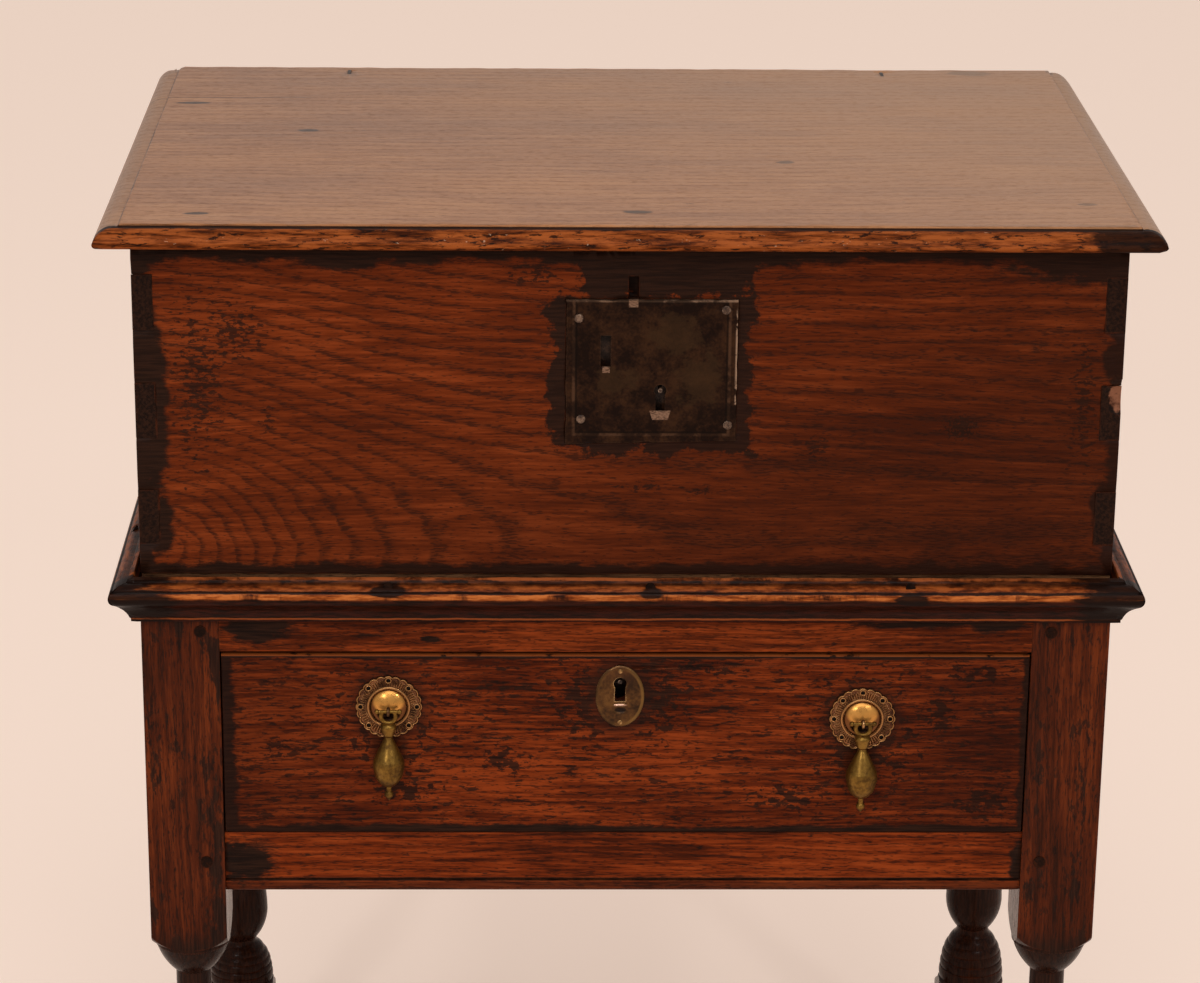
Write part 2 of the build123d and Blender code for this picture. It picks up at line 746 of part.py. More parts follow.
# ---- runners, which carry the drawer, and kickers above it -----------------------------------
between_rails_y = (front_rail_y[1], back_rail_y[0])
for side in sides:
    outer_x = sides[side] * side_rail_inner_x
    inner_x = sides[side] * runner_inner_x
    leg_x = sides[side] * inner_leg_x
    with BuildPart() as runner:
        block((inner_x, outer_x), side_rail_y, (drawer_floor_z - runner_depth, drawer_floor_z))
        block((inner_x, leg_x), between_rails_y, (drawer_floor_z - runner_depth, drawer_floor_z))
        block((leg_x, outer_x), side_rail_y, (drawer_floor_z, drawer_floor_z + guide_height))
        runner_nails_of(side, Mode.SUBTRACT)
    finish(runner, f"runner_{side}")
    with BuildPart() as kicker:
        block((inner_x, outer_x), side_rail_y, (opening_top_z, opening_top_z + kicker_depth))
        block((inner_x, leg_x), between_rails_y, (opening_top_z, opening_top_z + kicker_depth))
        runner_nails_of(side, Mode.SUBTRACT)
    finish(kicker, f"kicker_{side}")

with BuildPart() as runner_nails:
    for side in sides:
        runner_nails_of(side)
finish(runner_nails, "runner_nails")

# ---- box: walls dovetailed at the corners ----------------------------------------------------
wall_z = (wall_bottom_z, box_top_z)
inner_front_y = box_front_y + board
inner_back_y = box_back_y - board
tail_centres = [wall_bottom_z + first_tail_z + tail_pitch * index for index in range(tail_count)]
box_side_x = {
    side: sorted((sides[side] * box_half_width, sides[side] * (box_half_width - board)))
    for side in sides
}


def corner_edges(piece, x, y):
    """The upright edges of a piece that stand at one point of the plan."""
    return piece.edges().filter_by(Axis.Z).filter_by(
        lambda edge: abs(edge.center().X - x) < 0.01 and abs(edge.center().Y - y) < 0.01
    )


def break_corner():
    """The piece broken out of the box's front right corner."""
    centre_y = box_front_y + corner_chip_depth - corner_chip_radius
    with Locations((box_half_width + edge_wear, centre_y, frame_top_z + corner_chip_z)):
        Sphere(corner_chip_radius, mode=Mode.SUBTRACT)


# nails through the bottom board into the walls
bottom_nail_length = bottom_thickness + 16
bottom_nails_x = [box_half_width * share for share in (-0.85, -0.3, 0.3, 0.85)]
bottom_nails_y = [box_front_y + (box_back_y - box_front_y) * share for share in (0.3, 0.7)]
bottom_nail_rows = (box_front_y + board / 2, box_back_y - board / 2)
bottom_nail_places = [(x, y) for x in bottom_nails_x for y in bottom_nail_rows]
bottom_nail_x = box_half_width - board / 2
bottom_nail_places += [(sides[side] * bottom_nail_x, y) for side in sides for y in bottom_nails_y]


def upward_nails(places, radius, start, length, mode=Mode.ADD):
    for place in places:
        bar_along("z", place, radius, start, start + length, mode)


def cut_bottom_nails():
    upward_nails(bottom_nail_places, nail_radius, frame_top_z, bottom_nail_length, Mode.SUBTRACT)


# lock: an iron plate let into the front, with a case and a sliding bolt in a mortise behind it
plate_back_y = box_front_y + plate_let_in
plate_front_y = plate_back_y - plate_thickness
case_back_y = plate_back_y + case_depth
case_x = (plate_centre_x - case_width / 2, plate_centre_x + case_width / 2)
case_centre_z = frame_top_z + plate_centre_z
case_z = (case_centre_z - case_height / 2, case_centre_z + case_height / 2)
key_z = frame_top_z + box_key_z
bolt_z = frame_top_z + plate_centre_z + plate_height * 0.14
bolt_span_z = (bolt_z - bolt_height / 2, bolt_z + bolt_height / 2)
bolt_back_y = case_back_y - case_wall - slide_clearance
bolt_y = (bolt_back_y - bolt_thickness, bolt_back_y)
bolt_end_x = hasp_slot_x + hasp_slot_width / 2 + 2
bolt_x = (bolt_end_x, bolt_end_x + bolt_length)
plate_nail_places = [
    (plate_centre_x + dx * plate_width / 2, frame_top_z + plate_centre_z + dz * plate_height / 2)
    for dx, dz in ((-0.85, 0.74), (0.86, 0.86), (-0.82, -0.67), (0.90, -0.75))
]


def plate_outline(y, depth, mode):
    """The plate's slightly crooked outline, extruded inwards from y."""
    half_w = plate_width / 2
    half_h = plate_height / 2
    with BuildSketch(facing_front(plate_centre_x, y, case_centre_z)) as outline:
        Polygon(
            (-half_w, -half_h + plate_skew / 2),
            (half_w, -half_h - plate_skew / 2),
            (half_w, half_h),
            (-half_w, half_h),
            align=None,
        )
    extrude(outline.sketch, amount=depth, mode=mode)


def plate_nail(place, mode=Mode.ADD):
    bar_along("y", place, nail_radius, plate_front_y, plate_front_y + nail_depth, mode)


with BuildPart() as box_front:
    block((-box_half_width, box_half_width), (box_front_y, inner_front_y), wall_z)
    for side in sides:
        fillet(corner_edges(box_front, sides[side] * box_half_width, box_front_y), radius=edge_wear)
    for side in sides:
        tails(box_side_x[side], box_front_y, inner_front_y, tail_centres, tail_width, Mode.SUBTRACT)
    plate_outline(box_front_y, plate_let_in, Mode.SUBTRACT)
    block(case_x, (box_front_y, case_back_y), case_z, Mode.SUBTRACT)
    for place in plate_nail_places:
        plate_nail(place, Mode.SUBTRACT)
    old_hole_foot_z = frame_top_z + old_hole_z - old_hole_height / 2
    block(
        (old_hole_x - old_hole_width / 2, old_hole_x + old_hole_width / 2),
        (box_front_y, box_front_y + board * 0.7),
        (old_hole_foot_z, old_hole_foot_z + old_hole_height),
        Mode.SUBTRACT,
    )
    chip_radius = (chip_width**2 / 4 + chip_depth**2) / (2 * chip_depth)
    bar_along(
        "y",
        (chip_x, box_top_z + chip_radius - chip_depth),
        chip_radius,
        box_front_y,
        box_front_y + board * 0.45,
        Mode.SUBTRACT,
    )
    break_corner()
    cut_bottom_nails()
finish(box_front, "box_front")

for side in sides:
    with BuildPart() as box_side:
        block(box_side_x[side], (inner_front_y, inner_back_y), wall_z)
        tails(box_side_x[side], box_front_y, inner_front_y, tail_centres, tail_width)
        tails(box_side_x[side], box_back_y, inner_back_y, tail_centres, tail_width)
        for corner_y in (box_front_y, box_back_y):
            fillet(corner_edges(box_side, sides[side] * box_half_width, corner_y), radius=edge_wear)
        break_corner()
        cut_bottom_nails()
    finish(box_side, f"box_side_{side}")


# hinges: two pairs of linked iron eyes, their shanks driven through the wood and clenched over
def box_eye(x):
    """Eye of the box: a level ring, with a shank through the back board and its ends bent apart inside."""
    with Locations((x, box_back_y + eye_wire + eye_radius, hinge_z)):
        Torus(eye_radius, eye_wire)
    bar_along("y", (x, hinge_z), eye_wire, inner_back_y, box_back_y + 2 * eye_wire)
    block(
        (x - clench_length, x + clench_length),
        (inner_back_y - clench_thickness, inner_back_y),
        (hinge_z - clench_width / 2, hinge_z + clench_width / 2),
    )


def lid_eye(x, mode=Mode.ADD):
    """Eye of the lid: an upright ring round the box's eye, with a slanting shank clenched on top."""
    with Locations((x, hinge_y, hinge_z)):
        Torus(eye_radius, eye_wire, rotation=(0, 90, 0), mode=mode)
    slant = (0, -cos(radians(45)), sin(radians(45)))
    rise = lid_top_z - hinge_z
    start = (x, hinge_y + slant[1] * eye_radius, hinge_z + slant[2] * eye_radius)
    with BuildSketch(Plane(origin=start, z_dir=slant)) as shank:
        Circle(eye_wire)
    shank_length = (rise - clench_thickness) / slant[2] - eye_radius
    extrude(shank.sketch, amount=shank_length, mode=mode)
    exit_y = hinge_y - rise
    block(
        (x - clench_width / 2, x + clench_width / 2),
        (exit_y - clench_length, exit_y + eye_wire),
        (lid_top_z - clench_thickness, lid_top_z),
        mode,
    )


with BuildPart() as box_back:
    block((-box_half_width, box_half_width), (inner_back_y, box_back_y), wall_z)
    for side in sides:
        tails(box_side_x[side], box_back_y, inner_back_y, tail_centres, tail_width, Mode.SUBTRACT)
        bar_along("y", (sides[side] * hinge_x, hinge_z), eye_wire, inner_back_y, box_back_y, Mode.SUBTRACT)
    cut_bottom_nails()
finish(box_back, "box_back")

with BuildPart() as hinge_eyes_box:
    for side in sides:
        box_eye(sides[side] * hinge_x)
finish(hinge_eyes_box, "hinge_eyes_box")

with BuildPart() as box_bottom:
    block(
        (-box_half_width + bottom_setback, box_half_width - bottom_setback),
        (box_front_y + bottom_setback, box_back_y - bottom_setback),
        (frame_top_z, wall_bottom_z),
    )
    cut_bottom_nails()
finish(box_bottom, "box_bottom")

with BuildPart() as box_bottom_nails:
    upward_nails(bottom_nail_places, nail_radius, frame_top_z, bottom_nail_length)
finish(box_bottom_nails, "box_bottom_nails")

# ---- box lock --------------------------------------------------------------------------------
strap_width = 6.0
strap_places_x = (bolt_x[0] + 3, bolt_x[0] + 29)        # both stay over the bolt at each end of its travel

with BuildPart() as lock_plate:
    plate_outline(plate_front_y, plate_thickness, Mode.ADD)
    slot_z = (bolt_z - hasp_slot_height / 2, bolt_z + hasp_slot_height / 2)
    slot_x = (hasp_slot_x - hasp_slot_width / 2, hasp_slot_x + hasp_slot_width / 2)
    block(slot_x, (plate_front_y, plate_back_y), slot_z, Mode.SUBTRACT)
    key_plane = facing_front(box_key_x, plate_front_y, key_z)
    keyhole(key_plane, key_head_radius, key_slot_width, key_slot_length, plate_thickness)
    for place in plate_nail_places:
        plate_nail(place, Mode.SUBTRACT)
finish(lock_plate, "lock_plate")

with BuildPart() as lock_plate_nails:
    for place in plate_nail_places:
        plate_nail(place)
        bar_along("y", place, nail_head_radius, plate_front_y - nail_head_height, plate_front_y)
    head_rims = lock_plate_nails.edges().filter_by(GeomType.CIRCLE).group_by(Axis.Y)[0]
    fillet(head_rims, radius=nail_head_height * 0.8)
finish(lock_plate_nails, "lock_plate_nails")

with BuildPart() as lock_case:
    block(case_x, (plate_back_y, case_back_y), case_z)
    block(
        (case_x[0] + case_wall, case_x[1] - case_wall),
        (plate_back_y, case_back_y - case_wall),
        (case_z[0] + case_wall, case_z[1] - case_wall),
        Mode.SUBTRACT,
    )
    strap_front_y = bolt_y[0] - slide_clearance - case_wall
    for x in strap_places_x:
        block(
            (x, x + strap_width),
            (strap_front_y, case_back_y - case_wall),
            (bolt_span_z[0] - slide_clearance - case_wall, bolt_span_z[1] + slide_clearance + case_wall),
        )
        block(
            (x, x + strap_width),
            (bolt_y[0] - slide_clearance, case_back_y - case_wall),
            (bolt_span_z[0] - slide_clearance, bolt_span_z[1] + slide_clearance),
            Mode.SUBTRACT,
        )
finish(lock_case, "lock_case")

with BuildPart() as lock_pin:
    bar_along("y", (box_key_x, key_z), lock_pin_radius, plate_front_y, case_back_y - case_wall)
finish(lock_pin, "lock_pin")

with BuildPart() as lock_bolt:
    block(bolt_x, bolt_y, bolt_span_z)
finish(lock_bolt, "lock_bolt")

# ---- lid -------------------------------------------------------------------------------------
def lid_edge_waste():
    """What is planed away along an edge of the lid: X inwards from the edge, Y up from the underside."""
    underside = (lid_thickness * 0.21, 0)
    nose = (0, lid_thickness * 0.28)
    crown = (lid_edge_width * 0.27, lid_thickness * 0.67)
    quirk_foot = (lid_edge_width - 0.8, lid_thickness - lid_quirk)
    outside = -1
    with BuildLine() as outline:
        Line((outside, outside), (underside[0], outside))
        Line((underside[0], outside), underside)
        ThreePointArc(underside, (underside[0] * 0.22, nose[1] * 0.36), nose)
        ThreePointArc(nose, crown, quirk_foot)
        Line(quirk_foot, (lid_edge_width, lid_thickness - edge_wear * 0.5))
        Line((lid_edge_width, lid_thickness - edge_wear * 0.5), (lid_edge_width + edge_wear, lid_thickness))
        Line((lid_edge_width + edge_wear, lid_thickness), (lid_edge_width + edge_wear, lid_thickness + 1))
        Line((lid_edge_width + edge_wear, lid_thickness + 1), (outside, lid_thickness + 1))
        Line((outside, lid_thickness + 1), (outside, outside))
    return outline.edges()


lid_back_y = lid_front_y + lid_depth
lid_edges = [
    (Plane(origin=(-lid_half_width, lid_front_y, box_top_z), x_dir=(0, 1, 0), z_dir=(1, 0, 0)), 2 * lid_half_width),
    (Plane(origin=(-lid_half_width, lid_back_y, box_top_z), x_dir=(1, 0, 0), z_dir=(0, -1, 0)), lid_depth),
    (Plane(origin=(lid_half_width, lid_front_y, box_top_z), x_dir=(-1, 0, 0), z_dir=(0, 1, 0)), lid_depth),
]

with BuildPart() as lid_board:
    block((-lid_half_width, lid_half_width), (lid_front_y, lid_back_y), (box_top_z, lid_top_z))
    for edge_plane, edge_length in lid_edges:
        with BuildSketch(edge_plane):
            make_face(lid_edge_waste())
        extrude(amount=edge_length, mode=Mode.SUBTRACT)
    for side in sides:
        lid_eye(sides[side] * hinge_x, Mode.SUBTRACT)
finish(lid_board, "lid_board")

with BuildPart() as hinge_eyes_lid:
    for side in sides:
        lid_eye(sides[side] * hinge_x)
finish(hinge_eyes_lid, "hinge_eyes_lid")

# ---- drawer: front with lapped dovetails, bottom nailed up into a rebate ---------------------
drawer_front_inner_y = drawer_face_y + drawer_front_thickness
drawer_back_inner_y = drawer_back_y - drawer_back_thickness
drawer_rebate_y = drawer_front_inner_y - drawer_front_thickness / 2
drawer_floor_top_z = drawer_bottom_z + drawer_bottom_thickness
drawer_side_z = (drawer_floor_top_z, drawer_top_z - drawer_edge_wear)
drawer_side_height = drawer_side_z[1] - drawer_side_z[0]
drawer_tail_width = drawer_side_height / drawer_tail_count - 4 * tail_slope
drawer_tail_centres = [
    drawer_side_z[0] + drawer_side_height * (index + 0.5) / drawer_tail_count for index in range(drawer_tail_count)
]
drawer_side_x = {
    side: sorted((sides[side] * drawer_half_width, sides[side] * (drawer_half_width - drawer_side_thickness)))
    for side in sides
}
drawer_nail_length = drawer_bottom_thickness + 14
drawer_nails_x = [drawer_half_width * share for share in (-0.8, -0.3, 0.3, 0.8)]
drawer_nails_y = [drawer_face_y + (drawer_back_y - drawer_face_y) * share for share in (0.2, 0.5, 0.8)]
drawer_nail_rows_y = ((drawer_rebate_y + drawer_front_inner_y) / 2, drawer_back_y - drawer_back_thickness / 2)
drawer_nail_places = [(x, y) for x in drawer_nails_x for y in drawer_nail_rows_y]
drawer_nail_places += [
    (sides[side] * (drawer_half_width - drawer_side_thickness / 2), y) for side in sides for y in drawer_nails_y
]
handle_z = {"left": drawer_floor_z + handle_left_z, "right": drawer_floor_z + handle_right_z}
cotter_eye_radius = cotter_wire + drop_eye_gap + drop_wire
drop_y = drawer_face_y - drop_offset


def cut_drawer_nails():
    upward_nails(drawer_nail_places, drawer_nail_radius, drawer_bottom_z, drawer_nail_length, Mode.SUBTRACT)


def cotter_shank(side, mode):
    """Shank of a handle's cotter, from its eye to the inside of the drawer's front."""
    start = drop_y + cotter_eye_radius
    bar_along(
        "y",
        (sides[side] * handle_x, handle_z[side]),
        cotter_shank_radius,
        start,
        drawer_front_inner_y,
        mode,
    )


# lock of the drawer: an iron case with a wider back plate, let into the front from inside
drawer_case_x = (escutcheon_x - drawer_lock_width / 2, escutcheon_x + drawer_lock_width / 2)
drawer_case_y = (drawer_front_inner_y - drawer_lock_depth, drawer_front_inner_y)
drawer_case_z = (drawer_top_z - drawer_lock_height, drawer_top_z)
drawer_plate_wing = 9.0
drawer_plate_x = (drawer_case_x[0] - drawer_plate_wing, drawer_case_x[1] + drawer_plate_wing)
drawer_plate_y = (drawer_front_inner_y - case_wall, drawer_front_inner_y)
drawer_key_centre_z = drawer_floor_z + drawer_key_z
drawer_bolt_x = (escutcheon_x - drawer_bolt_width / 2, escutcheon_x + drawer_bolt_width / 2)
drawer_bolt_top_z = drawer_top_z - slide_clearance
drawer_bolt_z = (drawer_bolt_top_z - drawer_bolt_length, drawer_bolt_top_z)
lock_nail_places = [
    (x, (drawer_case_z[0] + drawer_case_z[1]) / 2 + dz)
    for x in (drawer_plate_x[0] + drawer_plate_wing / 2, drawer_plate_x[1] - drawer_plate_wing / 2)
    for dz in (-drawer_lock_height / 3, drawer_lock_height / 3)
]


def lock_nails(mode=Mode.ADD):
    for place in lock_nail_places:
        bar_along(
            "y",
            place,
            drawer_nail_radius,
            drawer_front_inner_y - nail_depth,
            drawer_front_inner_y,
            mode,
        )


escutcheon_pin_radius = 0.9
escutcheon_pin_places = [
    (escutcheon_x, drawer_floor_z + escutcheon_z + dz * escutcheon_height) for dz in (-0.42, 0.42)
]


def escutcheon_pin_shanks(mode=Mode.ADD):
    start = drawer_face_y - escutcheon_thickness
    for place in escutcheon_pin_places:
        bar_along("y", place, escutcheon_pin_radius, start, start + nail_depth, mode)


with BuildPart() as drawer_front:
    block(
        (-drawer_half_width, drawer_half_width),
        (drawer_face_y, drawer_front_inner_y),
        (drawer_bottom_z, drawer_top_z),
    )
    face_edges = drawer_front.faces().sort_by(Axis.Y)[0].edges()
    fillet(face_edges, radius=drawer_edge_wear)
    block(
        (-drawer_half_width, drawer_half_width),
        (drawer_rebate_y, drawer_front_inner_y),
        (drawer_bottom_z, drawer_floor_top_z),
        Mode.SUBTRACT,
    )
    for side in sides:
        tails(
            drawer_side_x[side],
            drawer_face_y + drawer_lap,
            drawer_front_inner_y,
            drawer_tail_centres,
            drawer_tail_width,
            Mode.SUBTRACT,
        )
        cotter_shank(side, Mode.SUBTRACT)
    block(drawer_case_x, drawer_case_y, drawer_case_z, Mode.SUBTRACT)
    block(drawer_plate_x, drawer_plate_y, drawer_case_z, Mode.SUBTRACT)
    key_plane = facing_front(escutcheon_x, drawer_face_y, drawer_key_centre_z)
    key_depth = drawer_case_y[0] - drawer_face_y
    keyhole(key_plane, drawer_key_head, drawer_key_slot_width, drawer_key_slot_length, key_depth)
    cut_drawer_nails()
    lock_nails(Mode.SUBTRACT)
    escutcheon_pin_shanks(Mode.SUBTRACT)
finish(drawer_front, "drawer_front")

for side in sides:
    with BuildPart() as drawer_side:
        block(drawer_side_x[side], (drawer_front_inner_y, drawer_back_inner_y), drawer_side_z)
        tails(
            drawer_side_x[side],
            drawer_face_y + drawer_lap,
            drawer_front_inner_y,
            drawer_tail_centres,
            drawer_tail_width,
        )
        tails(drawer_side_x[side], drawer_back_y, drawer_back_inner_y, drawer_tail_centres, drawer_tail_width)
        cut_drawer_nails()
    finish(drawer_side, f"drawer_side_{side}")

with BuildPart() as drawer_back:
    block((-drawer_half_width, drawer_half_width), (drawer_back_inner_y, drawer_back_y), drawer_side_z)
    for side in sides:
        tails(
            drawer_side_x[side],
            drawer_back_y,
            drawer_back_inner_y,
            drawer_tail_centres,
            drawer_tail_width,
            Mode.SUBTRACT,
        )
    cut_drawer_nails()
finish(drawer_back, "drawer_back")

with BuildPart() as drawer_bottom:
    block(
        (-drawer_half_width, drawer_half_width),
        (drawer_rebate_y, drawer_back_y),
        (drawer_bottom_z, drawer_floor_top_z),
    )
    cut_drawer_nails()
finish(drawer_bottom, "drawer_bottom")

with BuildPart() as drawer_bottom_nails:
    upward_nails(drawer_nail_places, drawer_nail_radius, drawer_bottom_z, drawer_nail_length)
finish(drawer_bottom_nails, "drawer_bottom_nails")

# ---- drawer lock -----------------------------------------------------------------------------
with BuildPart() as drawer_lock_case:
    block(drawer_case_x, drawer_case_y, drawer_case_z)
    block(drawer_plate_x, drawer_plate_y, drawer_case_z)
    inner_case_x = (drawer_case_x[0] + case_wall, drawer_case_x[1] - case_wall)
    inner_case_z = (drawer_case_z[0] + case_wall, drawer_case_z[1] - case_wall)
    block(inner_case_x, (drawer_case_y[0], drawer_plate_y[0]), inner_case_z, Mode.SUBTRACT)
    channel_x = (drawer_bolt_x[0] - slide_clearance, drawer_bolt_x[1] + slide_clearance)
    channel_y = (drawer_bolt_y[0] - slide_clearance, drawer_bolt_y[1] + slide_clearance)
    guide_z = (drawer_bolt_z[0], inner_case_z[1])
    block(
        (channel_x[0] - case_wall, channel_x[1] + case_wall),
        (channel_y[0] - case_wall, drawer_plate_y[0]),
        guide_z,
    )
    block(channel_x, channel_y, (guide_z[0], drawer_case_z[1]), Mode.SUBTRACT)
    lock_nails(Mode.SUBTRACT)
finish(drawer_lock_case, "drawer_lock_case")

with BuildPart() as drawer_lock_nails:
    lock_nails()
finish(drawer_lock_nails, "drawer_lock_nails")

with BuildPart() as drawer_lock_pin:
    bar_along(
        "y",
        (escutcheon_x, drawer_key_centre_z),
        lock_pin_radius,
        drawer_face_y + drawer_edge_wear,
        drawer_plate_y[0],
    )
finish(drawer_lock_pin, "drawer_lock_pin")

with BuildPart() as drawer_lock_bolt:
    block(drawer_bolt_x, drawer_bolt_y, drawer_bolt_z)
finish(drawer_lock_bolt, "drawer_lock_bolt")

with BuildPart() as escutcheon:
    plate_plane = facing_front(escutcheon_x, drawer_face_y - escutcheon_thickness, drawer_floor_z + escutcheon_z)
    with BuildSketch(plate_plane):
        Ellipse(escutcheon_width / 2, escutcheon_height / 2)
    extrude(amount=escutcheon_thickness)
    rim = escutcheon.faces().sort_by(Axis.Y)[0].edges()
    fillet(rim, radius=escutcheon_thickness * 0.7)
    key_plane = facing_front(escutcheon_x, drawer_face_y - escutcheon_thickness, drawer_key_centre_z)
    keyhole(key_plane, drawer_key_head, drawer_key_slot_width, drawer_key_slot_length, escutcheon_thickness)
    escutcheon_pin_shanks(Mode.SUBTRACT)
finish(escutcheon, "escutcheon")

with BuildPart() as escutcheon_pins:
    escutcheon_pin_shanks()
    for place in escutcheon_pin_places:
        start = drawer_face_y - escutcheon_thickness
        bar_along("y", place, escutcheon_pin_radius * 2, start - escutcheon_pin_radius, start)
    pin_rims = escutcheon_pins.edges().filter_by(GeomType.CIRCLE).group_by(Axis.Y)[0]
    fillet(pin_rims, radius=escutcheon_pin_radius * 0.9)
finish(escutcheon_pins, "escutcheon_pins")

# ---- drop handles ----------------------------------------------------------------------------
def boss_outline():
    """Half section of a handle plate's ring and dome: X from its centre, Y into the drawer."""
    plate_face = -handle_plate_thickness
    dome = handle_dome_radius
    top = plate_face - handle_dome_height
    bead = 1.0
    ring_outside = handle_ring_radius + bead
    ring_inside = handle_ring_radius - bead
    with BuildLine() as outline:
        Line((0, plate_face / 2), (ring_outside, plate_face / 2))
        Line((ring_outside, plate_face / 2), (ring_outside, plate_face))
        ThreePointArc(
            (ring_outside, plate_face),
            (handle_ring_radius, plate_face - bead),
            (ring_inside, plate_face),
        )
        Line((ring_inside, plate_face), (dome, plate_face))
        ThreePointArc((dome, plate_face), (dome * 0.66, plate_face - handle_dome_height * 0.62), (0, top))
        Line((0, top), (0, plate_face / 2))
    return outline.edges()


def drop_outline():
    """Half outline of a drop below its loop: X from its axis, Y up from the hinge axis."""
    bulb = drop_bulb_radius
    collar_top = -8.4
    collar_wide = (5.8, -11.8)
    collar_foot = (4.2, -17.6)
    neck = (2.7, -19.4)
    bulb_start = (3.1, -20.6)
    bulb_upper = (bulb * 0.94, -36.5)
    bulb_lower = (bulb * 0.92, -46.5)
    bulb_end = (3.3, -57.0)
    gap_radius = 2.0
    finial = drop_finial_radius
    finial_z = -drop_length + 1.6 * finial
    finial_top = (finial * 0.6, finial_z + finial * 0.8)
    finial_foot = (finial * 0.6, finial_z - finial * 0.8)
    with BuildLine() as outline:
        Line((0, collar_top), (collar_wide[0] * 0.45, collar_top))
        ThreePointArc((collar_wide[0] * 0.45, collar_top), (collar_wide[0] * 0.85, -9.5), collar_wide)
        Line(collar_wide, collar_foot)
        Line(collar_foot, neck)
        Line(neck, bulb_start)
        ThreePointArc(bulb_start, (bulb * 0.58, -27.6), bulb_upper)
        ThreePointArc(bulb_upper, (bulb, -41.3), bulb_lower)
        ThreePointArc(bulb_lower, (bulb * 0.68, -53.4), bulb_end)
        Line(bulb_end, (gap_radius, bulb_end[1] - 1))
        Line((gap_radius, bulb_end[1] - 1), finial_top)
        ThreePointArc(finial_top, (finial, finial_z), finial_foot)
        Line(finial_foot, (0, -drop_length))
        Line((0, -drop_length), (0, collar_top))
    return outline.edges()


for side in sides:
    x = sides[side] * handle_x
    z = handle_z[side]
    with BuildPart() as handle_plate:
        with BuildSketch(facing_front(x, drawer_face_y - handle_plate_thickness, z)):
            Circle(handle_plate_radius)
            with PolarLocations(handle_plate_radius, handle_lobes):
                Circle(handle_lobe_radius)
            with PolarLocations(handle_hole_circle, handle_holes):
                Circle(handle_hole_radius, mode=Mode.SUBTRACT)
        extrude(amount=handle_plate_thickness)
        with BuildSketch(Plane(origin=(x, drawer_face_y, z), x_dir=(1, 0, 0), z_dir=(0, 0, 1))):
            make_face(boss_outline())
        revolve(axis=Axis((x, drawer_face_y, z), (0, 1, 0)))
        cotter_shank(side, Mode.SUBTRACT)
    finish(handle_plate, f"handle_plate_{side}")

    with BuildPart() as handle_cotter:
        with Locations((x, drop_y, z)):
            Torus(cotter_eye_radius, cotter_wire, rotation=(0, 90, 0))
        cotter_shank(side, Mode.ADD)
        block(
            (x - cotter_prong_length, x + cotter_prong_length),
            (drawer_front_inner_y, drawer_front_inner_y + cotter_wire),
            (z - cotter_wire, z + cotter_wire),
        )
    finish(handle_cotter, f"handle_cotter_{side}")

    with BuildPart() as handle_drop:
        with Locations((x, drop_y, z - drop_loop_radius * 0.65)):
            Torus(drop_loop_radius, drop_wire * 1.2, rotation=(90, 0, 0))
        upper_y = (drop_y - drop_loop_radius, drop_y + drop_loop_radius)
        block((x - drop_bar_length, x + drop_bar_length), upper_y, (z, z + drop_bar_length), Mode.SUBTRACT)
        bar_along("x", (drop_y, z), drop_wire, x - drop_bar_length / 2, x + drop_bar_length / 2)
        with Locations((x - drop_bar_length / 2, drop_y, z), (x + drop_bar_length / 2, drop_y, z)):
            Sphere(drop_ball_radius)
        drop_plane = Plane(origin=(x, drop_y, z), x_dir=(1, 0, 0), z_dir=(0, -1, 0))
        with BuildSketch(drop_plane, mode=Mode.PRIVATE) as half:
            make_face(drop_outline())
        add(revolve(half.sketch, axis=Axis((x, drop_y, z), (0, 0, 1)), mode=Mode.PRIVATE))
        block(
            (x - drop_bar_length, x + drop_bar_length),
            (drawer_face_y - drop_back_gap, drawer_face_y + drop_bulb_radius),
            (z - drop_length, z),
            Mode.SUBTRACT,
        )
    finish(handle_drop, f"handle_drop_{side}")
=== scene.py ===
import math

import bmesh
import bpy
from mathutils import Matrix, Vector, noise


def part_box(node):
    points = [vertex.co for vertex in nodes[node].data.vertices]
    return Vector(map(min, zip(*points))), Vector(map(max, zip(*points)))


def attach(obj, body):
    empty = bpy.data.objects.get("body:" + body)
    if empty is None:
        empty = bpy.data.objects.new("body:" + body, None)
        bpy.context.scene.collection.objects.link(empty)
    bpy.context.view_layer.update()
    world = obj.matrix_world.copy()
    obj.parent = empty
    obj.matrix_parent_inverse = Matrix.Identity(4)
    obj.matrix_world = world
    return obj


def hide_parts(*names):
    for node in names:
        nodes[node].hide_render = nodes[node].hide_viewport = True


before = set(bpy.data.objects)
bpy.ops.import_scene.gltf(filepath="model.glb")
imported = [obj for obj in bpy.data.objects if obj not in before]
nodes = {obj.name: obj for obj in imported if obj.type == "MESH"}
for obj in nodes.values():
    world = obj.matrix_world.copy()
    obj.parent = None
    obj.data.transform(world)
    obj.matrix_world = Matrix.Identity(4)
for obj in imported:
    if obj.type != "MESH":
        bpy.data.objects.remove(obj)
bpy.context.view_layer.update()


# ---- places on the object, in metres ---------------------------------------------------------
LID_TOP = 0.9295
LID_SIDE = 0.368
LID_QUIRK = LID_SIDE - 0.0163  # the sunk line inside the lid's moulded ends
LID_FLAT_END = -0.2385  # where the flat top ends at the front
LID_NOSE_START = -0.2405  # where the front moulding starts
BOX_FRONT = -0.23395
STAND_FRONT = -0.23545
DRAWER_FACE = -0.23645
MOULDING_LOW = 0.6385
HANDLES = {"left": (-0.170, 0.5718), "right": (0.170, 0.5627)}
ESCUTCHEON = (-0.0043, 0.5798)
ESCUTCHEON_HALF = (0.0175, 0.0235)  # half its width and height
DRAWER_KEY_SLOT = (-0.0043, 0.5845)

